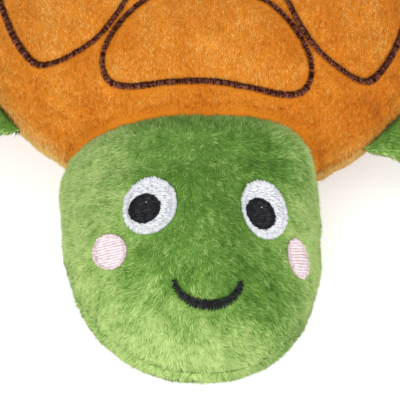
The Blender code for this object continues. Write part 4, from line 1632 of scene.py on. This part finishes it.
    def in_scutes(self, points: Array) -> Array:
        """Which points lie inside an outline: a line to the left of each crosses it an odd number of times.

        Args:
            points: Points over the shell.

        Returns:
            1 inside and 0 outside.
        """
        inside = np.zeros(len(points), dtype=bool)
        for plan in self.plans.values():
            corners = plan[::8]
            after = np.roll(corners, -1, axis=0)
            low, high = np.minimum(corners, after).min(axis=0), np.maximum(corners, after).max(axis=0)
            near = np.flatnonzero(((points[:, :2] > low) & (points[:, :2] < high)).all(axis=1))
            across, along = points[near, 0, None], points[near, 1, None]
            spans = (corners[:, 1] > along) != (after[:, 1] > along)
            rise = np.where(after[:, 1] == corners[:, 1], TINY, after[:, 1] - corners[:, 1])
            meets = corners[:, 0] + (after[:, 0] - corners[:, 0]) * (along - corners[:, 1]) / rise
            inside[near] = (spans & (meets < across)).sum(axis=1) % 2 == 1
        return inside.astype(float)

    def nap(self, points: Array) -> Array:
        """The way of the nap: towards the head, and in towards the middle from both sides."""
        across = points[:, 0] / self.half_width
        return np.stack([-1.05 * across, -np.ones(len(points)), -0.15 * np.ones(len(points))], axis=-1)

    def pattern(self) -> list[Scute]:
        """The seven outlines: two ends, four sides and the centre."""
        made = []
        end, left = np.array(END_SCUTE_SHARES), np.array(SIDE_SCUTE_SHARES)
        right = left + np.maximum(left[:, :1] - 0.5, 0.0) * (self.right_spread_share, 0.0)
        for name, along in (("front", -1.0), ("rear", 1.0)):
            half = end * (1.0, along)
            made.append(Scute(f"{name}_scute_outline", np.concatenate([half, half[-2:0:-1] * (-1.0, 1.0)]),
                              shift=self.front_scute_drift if name == "front" else 0.0))
            made.append(Scute(f"{name}_left_scute_outline", left * (1.0, along)))
            made.append(Scute(f"{name}_right_scute_outline", right * (-1.0, along)))
        quarter = np.array(CENTRE_SCUTE_SHARES)
        half = np.concatenate([quarter, quarter[-2::-1] * (1.0, -1.0)])
        made.append(Scute("centre_scute_outline", np.concatenate([half, half[-2:0:-1] * (-1.0, 1.0)])))
        return made

    def sew(self, scute: Scute) -> None:
        """One scute outline: threads laid across its line over a low roll."""
        draw = np.random.default_rng(len(scute.name))
        line = self.plans[scute.name]
        step = np.linalg.norm(np.roll(line, -1, axis=0) - line, axis=1).mean()
        count = int(step * len(line) * 1.1 / self.satin.pitch)
        stations = np.linspace(0.0, len(line), count + 1)[:-1]
        loop = np.concatenate([line, line[:1]])
        order = np.arange(len(loop))
        centre = np.stack([np.interp(stations, order, loop[:, axis]) for axis in (0, 1)], axis=-1)
        ahead = unit(np.roll(centre, -2, axis=0) - np.roll(centre, 2, axis=0))
        round_way = np.sign(np.cross(loop[:-1], loop[1:]).sum())
        beside = np.stack([ahead[:, 1], -ahead[:, 0]], axis=-1) * round_way
        steps = np.linspace(-1.0, 1.0, 7)
        half = self.cord_width / 2.0 * draw.uniform(0.84, 1.22, (count, 1))
        slant = draw.normal(0.25, 0.16, (count, 1)) * MM
        plan = centre[:, None] + beside[:, None] * (half * steps)[..., None]
        plan = plan + ahead[:, None] * (slant * steps)[..., None]
        lift = 0.7 * MM + 0.9 * MM * np.sqrt(np.clip(1.0 - 0.85 * steps ** 2, 0.0, 1.0))
        spots = self.spots_over(plan, np.broadcast_to(lift, plan.shape[:2]))
        piece = self.satin.sew(f"{scute.name}_stitches", [spots.points], [spots.normals], BROWN, 50)
        settle(piece, "shell", [scute.name])


def cut_with(piece: bpy.types.Object, cutter: bpy.types.Object) -> None:
    """Takes a cutter's space out of a piece, and keeps the result as the piece's mesh."""
    boolean = piece.modifiers.new("seat", "BOOLEAN")
    boolean.operation = "DIFFERENCE"
    boolean.solver = "EXACT"
    boolean.object = cutter
    graph = bpy.context.evaluated_depsgraph_get()
    mesh = bpy.data.meshes.new_from_object(piece.evaluated_get(graph))
    piece.modifiers.clear()
    piece.data = mesh


@dataclass
class Limb:
    """A flat stuffed limb whose round root edge lies along the rim of the shell."""

    name: str
    turn: float
    length: float
    half_width: float
    half_depth: float
    sweep: float
    taper_share: float
    side: Side
    root_radius: float = 2.5 * MM
    root_gap: float = 0.4 * MM
    rise_length: float = 25.0 * MM
    droop: float = math.radians(6.0)
    pile_depth: float = 1.3 * MM
    root_inset: float = -1.0 * MM
    rows: int = 44
    columns: int = 40
    pile: Pile = Pile()
    stuffing: Stuffing = Stuffing(most=1.2 * MM)

    def rim(self, shell: Shell, turns: Array) -> Array:
        """Points of the rim's oval, each turned from the front towards the turtle's left."""
        across, along = shell.half_width * np.sin(turns), -shell.half_length * np.cos(turns)
        return np.stack([across, along, np.zeros_like(turns)], axis=-1)

    def root(self, shell: Shell) -> tuple[Array, Array, Array]:
        """The rim point at the limb's middle, the way out from it and the way to the rear along the rim."""
        across, along = math.sin(self.turn) / shell.half_width, -math.cos(self.turn) / shell.half_length
        outwards = unit(np.array((across, along, 0.0)))
        return self.rim(shell, np.array(self.turn)), outwards, np.cross(UP, outwards)

    def sheet(self, shell: Shell, layer: Layer) -> Sheet:
        """The upper or lower panel.

        A section at a station is half an oval. Its half width tapers and closes at the tip with
        √(1 - share⁶). Its half depth rises from the root edge and closes with √(1 - share⁴). The root
        follows the rim, and the limb is swept back by the 1.6th power of the share and droops a little.

        Args:
            shell: The shell, which gives the rim.
            layer: Upper or lower.

        Returns:
            The panel with its lid.
        """
        middle, outwards, rearwards = self.root(shell)
        edge = self.root_radius - self.root_inset
        length = self.length - 2.0 * self.root_inset
        rounds = edge * (1.0 - np.cos(np.linspace(0.0, QUARTER, 7)))[:-1]
        places = edge + (length - self.pile_depth - edge) * np.sin(np.linspace(0.0, QUARTER, self.rows - 6))
        station = np.concatenate([rounds, places])
        share = station / station[-1]
        inset = self.root_inset + (self.pile_depth - self.root_inset) * eased(station, edge, 10.0 * MM)
        width = (self.half_width - inset) * (1.0 - self.taper_share * share)
        width = width * np.sqrt(np.clip(1.0 - share ** 6, 0.0, 1.0))
        turns = np.linspace(-QUARTER, QUARTER, self.columns + 1)
        growth = eased(station, edge, edge + self.rise_length)
        swell = edge + (self.half_depth - self.pile_depth - edge) * growth
        round_edge = np.sqrt(np.clip(2.0 * edge * station - station ** 2, 0.0, None))
        tip = np.sqrt(np.clip(1.0 - share ** 4, 0.0, 1.0))
        depth = np.where(station < edge, round_edge, swell) * tip
        beside = width[:, None] * np.sin(turns)
        rim = self.rim(shell, self.turn + np.linspace(-QUARTER / 2, QUARTER / 2, 65)) - middle
        root = (self.half_width - self.root_inset) * np.sin(turns)
        fall = np.interp(root, rim @ rearwards, -(rim @ outwards)) * (1 - share[:, None])
        out = self.root_inset + station[:, None] - fall - self.root_radius
        swept = beside + self.sweep * share[:, None] ** 1.6
        hinge = middle + outwards * (self.root_gap + self.root_radius) + UP * shell.rim_height

        def placed(above: Array) -> Array:
            """Row-frame points at a height over the limb's middle plane."""
            level_out = out * math.cos(self.droop) + above * math.sin(self.droop)
            level_up = above * math.cos(self.droop) - out * math.sin(self.droop)
            away = level_out[..., None] * outwards + swept[..., None] * rearwards + level_up[..., None] * UP
            return (hinge + away) * (self.side.value, 1.0, 1.0)

        above = np.maximum(depth[:, None] * np.cos(turns), SEAM_GAP / 2)
        return Sheet(placed(layer.value * above), placed(np.full(above.shape, layer.value * SEAM_GAP / 2)))

    def build(self, shell: Shell, body: str, seed: int) -> None:
        """Makes the two panels and their pile.

        Args:
            shell: The shell that the limb is sewn to.
            body: The body that it rides on.
            seed: The seed of its pile.
        """
        _, outwards, rearwards = self.root(shell)
        mirror = (self.side.value, 1.0, 1.0)
        outwards, rearwards = outwards * mirror, rearwards * mirror
        for layer in Layer:
            name = f"{self.name}_{layer.name.lower()}"
            sheet = self.sheet(shell, layer)
            held = np.indices(sheet.outer.shape[:2])[0] < 12
            sheet = self.stuffing.swell(name, sheet, held)
            cloth = make_cloth(f"{name}_cloth", sheet, GREEN)
            tint(cloth, lambda points: np.full(len(points), 0.45))
            extra = [f"{self.name}_filling"] if layer is Layer.UPPER else []
            settle(cloth, body, [f"{name}_cover", *extra])
            rows, columns = sheet.even_places(self.pile.spacing)
            spots = sheet.at(rows, columns)
            nap = outwards + rearwards * 0.25 + 0.35 * (columns[:, None] / self.columns - 0.5) * rearwards
            seed += 5
            # Painted sheen: paler towards the panel's side edges and its tip.
            edge = eased(np.abs(columns / self.columns - 0.5) * 2.0, 0.55, 1.0)
            tones = 0.40 + 0.42 * np.maximum(edge, eased(rows / self.rows, 0.7, 1.0))
            tones = tones + 0.06 * Waves(13 * MM, seed).at(spots.points)
            self.pile.grow(f"{name}_pile", spots, nap, np.ones(len(rows)), tones, GREEN, body, seed)


def limbs() -> list[Limb]:
    """The four flippers and the tail; the front left one is sewn on nearer to the head."""
    made = []
    for side in Side:
        front, rear = (f"{end}_{side.name.lower()}_flipper" for end in ("front", "rear"))
        turn = math.radians(56.0 - 2.8 * side.value)
        made.append(Limb(front, turn, 80.0 * MM, 27.5 * MM, 9.0 * MM, 28.0 * MM, 0.25, side))
        made.append(Limb(rear, math.radians(130.0), 58.0 * MM, 23.5 * MM, 8.0 * MM, 10.0 * MM, 0.25, side))
    made.append(Limb("tail", math.radians(180.0), 24.0 * MM, 10.5 * MM, 6.0 * MM, 0.0, 0.45, Side.LEFT))
    return made


@dataclass
class Studio:
    """A pale floor, soft lamps and the camera."""

    target: tuple = (0.0, -0.124, 0.04)
    elevation: float = math.radians(57.0)
    distance: float = 0.95
    roll: float = math.radians(0.7)
    lens: float = 198.83
    floor_size: float = 12.0
    world_strength: float = 0.72
    lamp_power: float = 9.4
    floor_glow: float = 0.50

    def build(self) -> None:
        """Sets up the floor, the lamps, the world and the camera."""
        self.make_floor()
        self.make_lamps()
        self.make_world()
        self.make_camera()
        bpy.context.scene.view_settings.view_transform = "Standard"

    def make_floor(self) -> None:
        """A flat floor whose camera colour is near white, so that only the shadow shows on it."""
        half = self.floor_size / 2.0
        corners = np.array(((-half, -half, 0.0), (half, -half, 0.0), (half, half, 0.0), (-half, half, 0.0)))
        tree = Tree("floor")
        tree.set(Base_Color=(0.86, 0.86, 0.86), Roughness=0.9, Specular_IOR_Level=0.1)
        path = tree.node("ShaderNodeLightPath", {}, {}, "Is Camera Ray")
        tree.set(Emission_Color=tree.mix(path, (0.0, 0.0, 0.0), (1.0, 1.0, 1.0)),
                 Emission_Strength=self.floor_glow)
        floor = new_piece("floor", corners, [np.array(((0, 1, 2, 3),))], tree.material, smooth=False)

    def make_lamps(self) -> None:
        """A broad soft lamp before the face and a weaker one from the turtle's left."""
        places = (("key", (-0.45, -1.25, 0.85), 0.9, 1.0), ("fill", (0.8, -0.5, 0.9), 0.8, 0.30))
        for name, place, size, share in places:
            lamp = bpy.data.lights.new(name, "AREA")
            lamp.shape, lamp.size, lamp.energy = "DISK", size, self.lamp_power * share
            holder = bpy.data.objects.new(name, lamp)
            holder.location = place
            holder.rotation_euler = (Vector(self.target) - Vector(place)).to_track_quat("-Z", "Y").to_euler()
            bpy.context.scene.collection.objects.link(holder)

    def make_world(self) -> None:
        """An even pale sky."""
        world = bpy.data.worlds.new("studio")
        world.use_nodes = True
        sky = world.node_tree.nodes["Background"]
        sky.inputs["Color"].default_value = (1.0, 1.0, 1.0, 1.0)
        sky.inputs["Strength"].default_value = self.world_strength
        bpy.context.scene.world = world

    def make_camera(self) -> None:
        """The camera at the photograph's angle."""
        data = bpy.data.cameras.new("camera")
        data.lens = self.lens
        camera = bpy.data.objects.new("camera", data)
        back = Vector((0.0, -math.cos(self.elevation), math.sin(self.elevation)))
        turn = (-back).to_track_quat("-Z", "Y").to_matrix() @ Matrix.Rotation(self.roll, 3, "Z")
        camera.matrix_world = Matrix.Translation(Vector(self.target) + back * self.distance) @ turn.to_4x4()
        bpy.context.scene.collection.objects.link(camera)
        bpy.context.scene.camera = camera


def main() -> None:
    """Builds the turtle in its studio."""
    logging.basicConfig(level=logging.INFO, format="%(name)s: %(message)s")
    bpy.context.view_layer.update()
    Studio().build()
    head, shell = Head(), Shell.from_frame()
    head.build()
    shell.build(head)
    for seed, limb in enumerate(limbs()):
        limb.build(shell, limb.name, 300 + 20 * seed)
    log.info("size written")


if __name__ == "__main__":
    main()
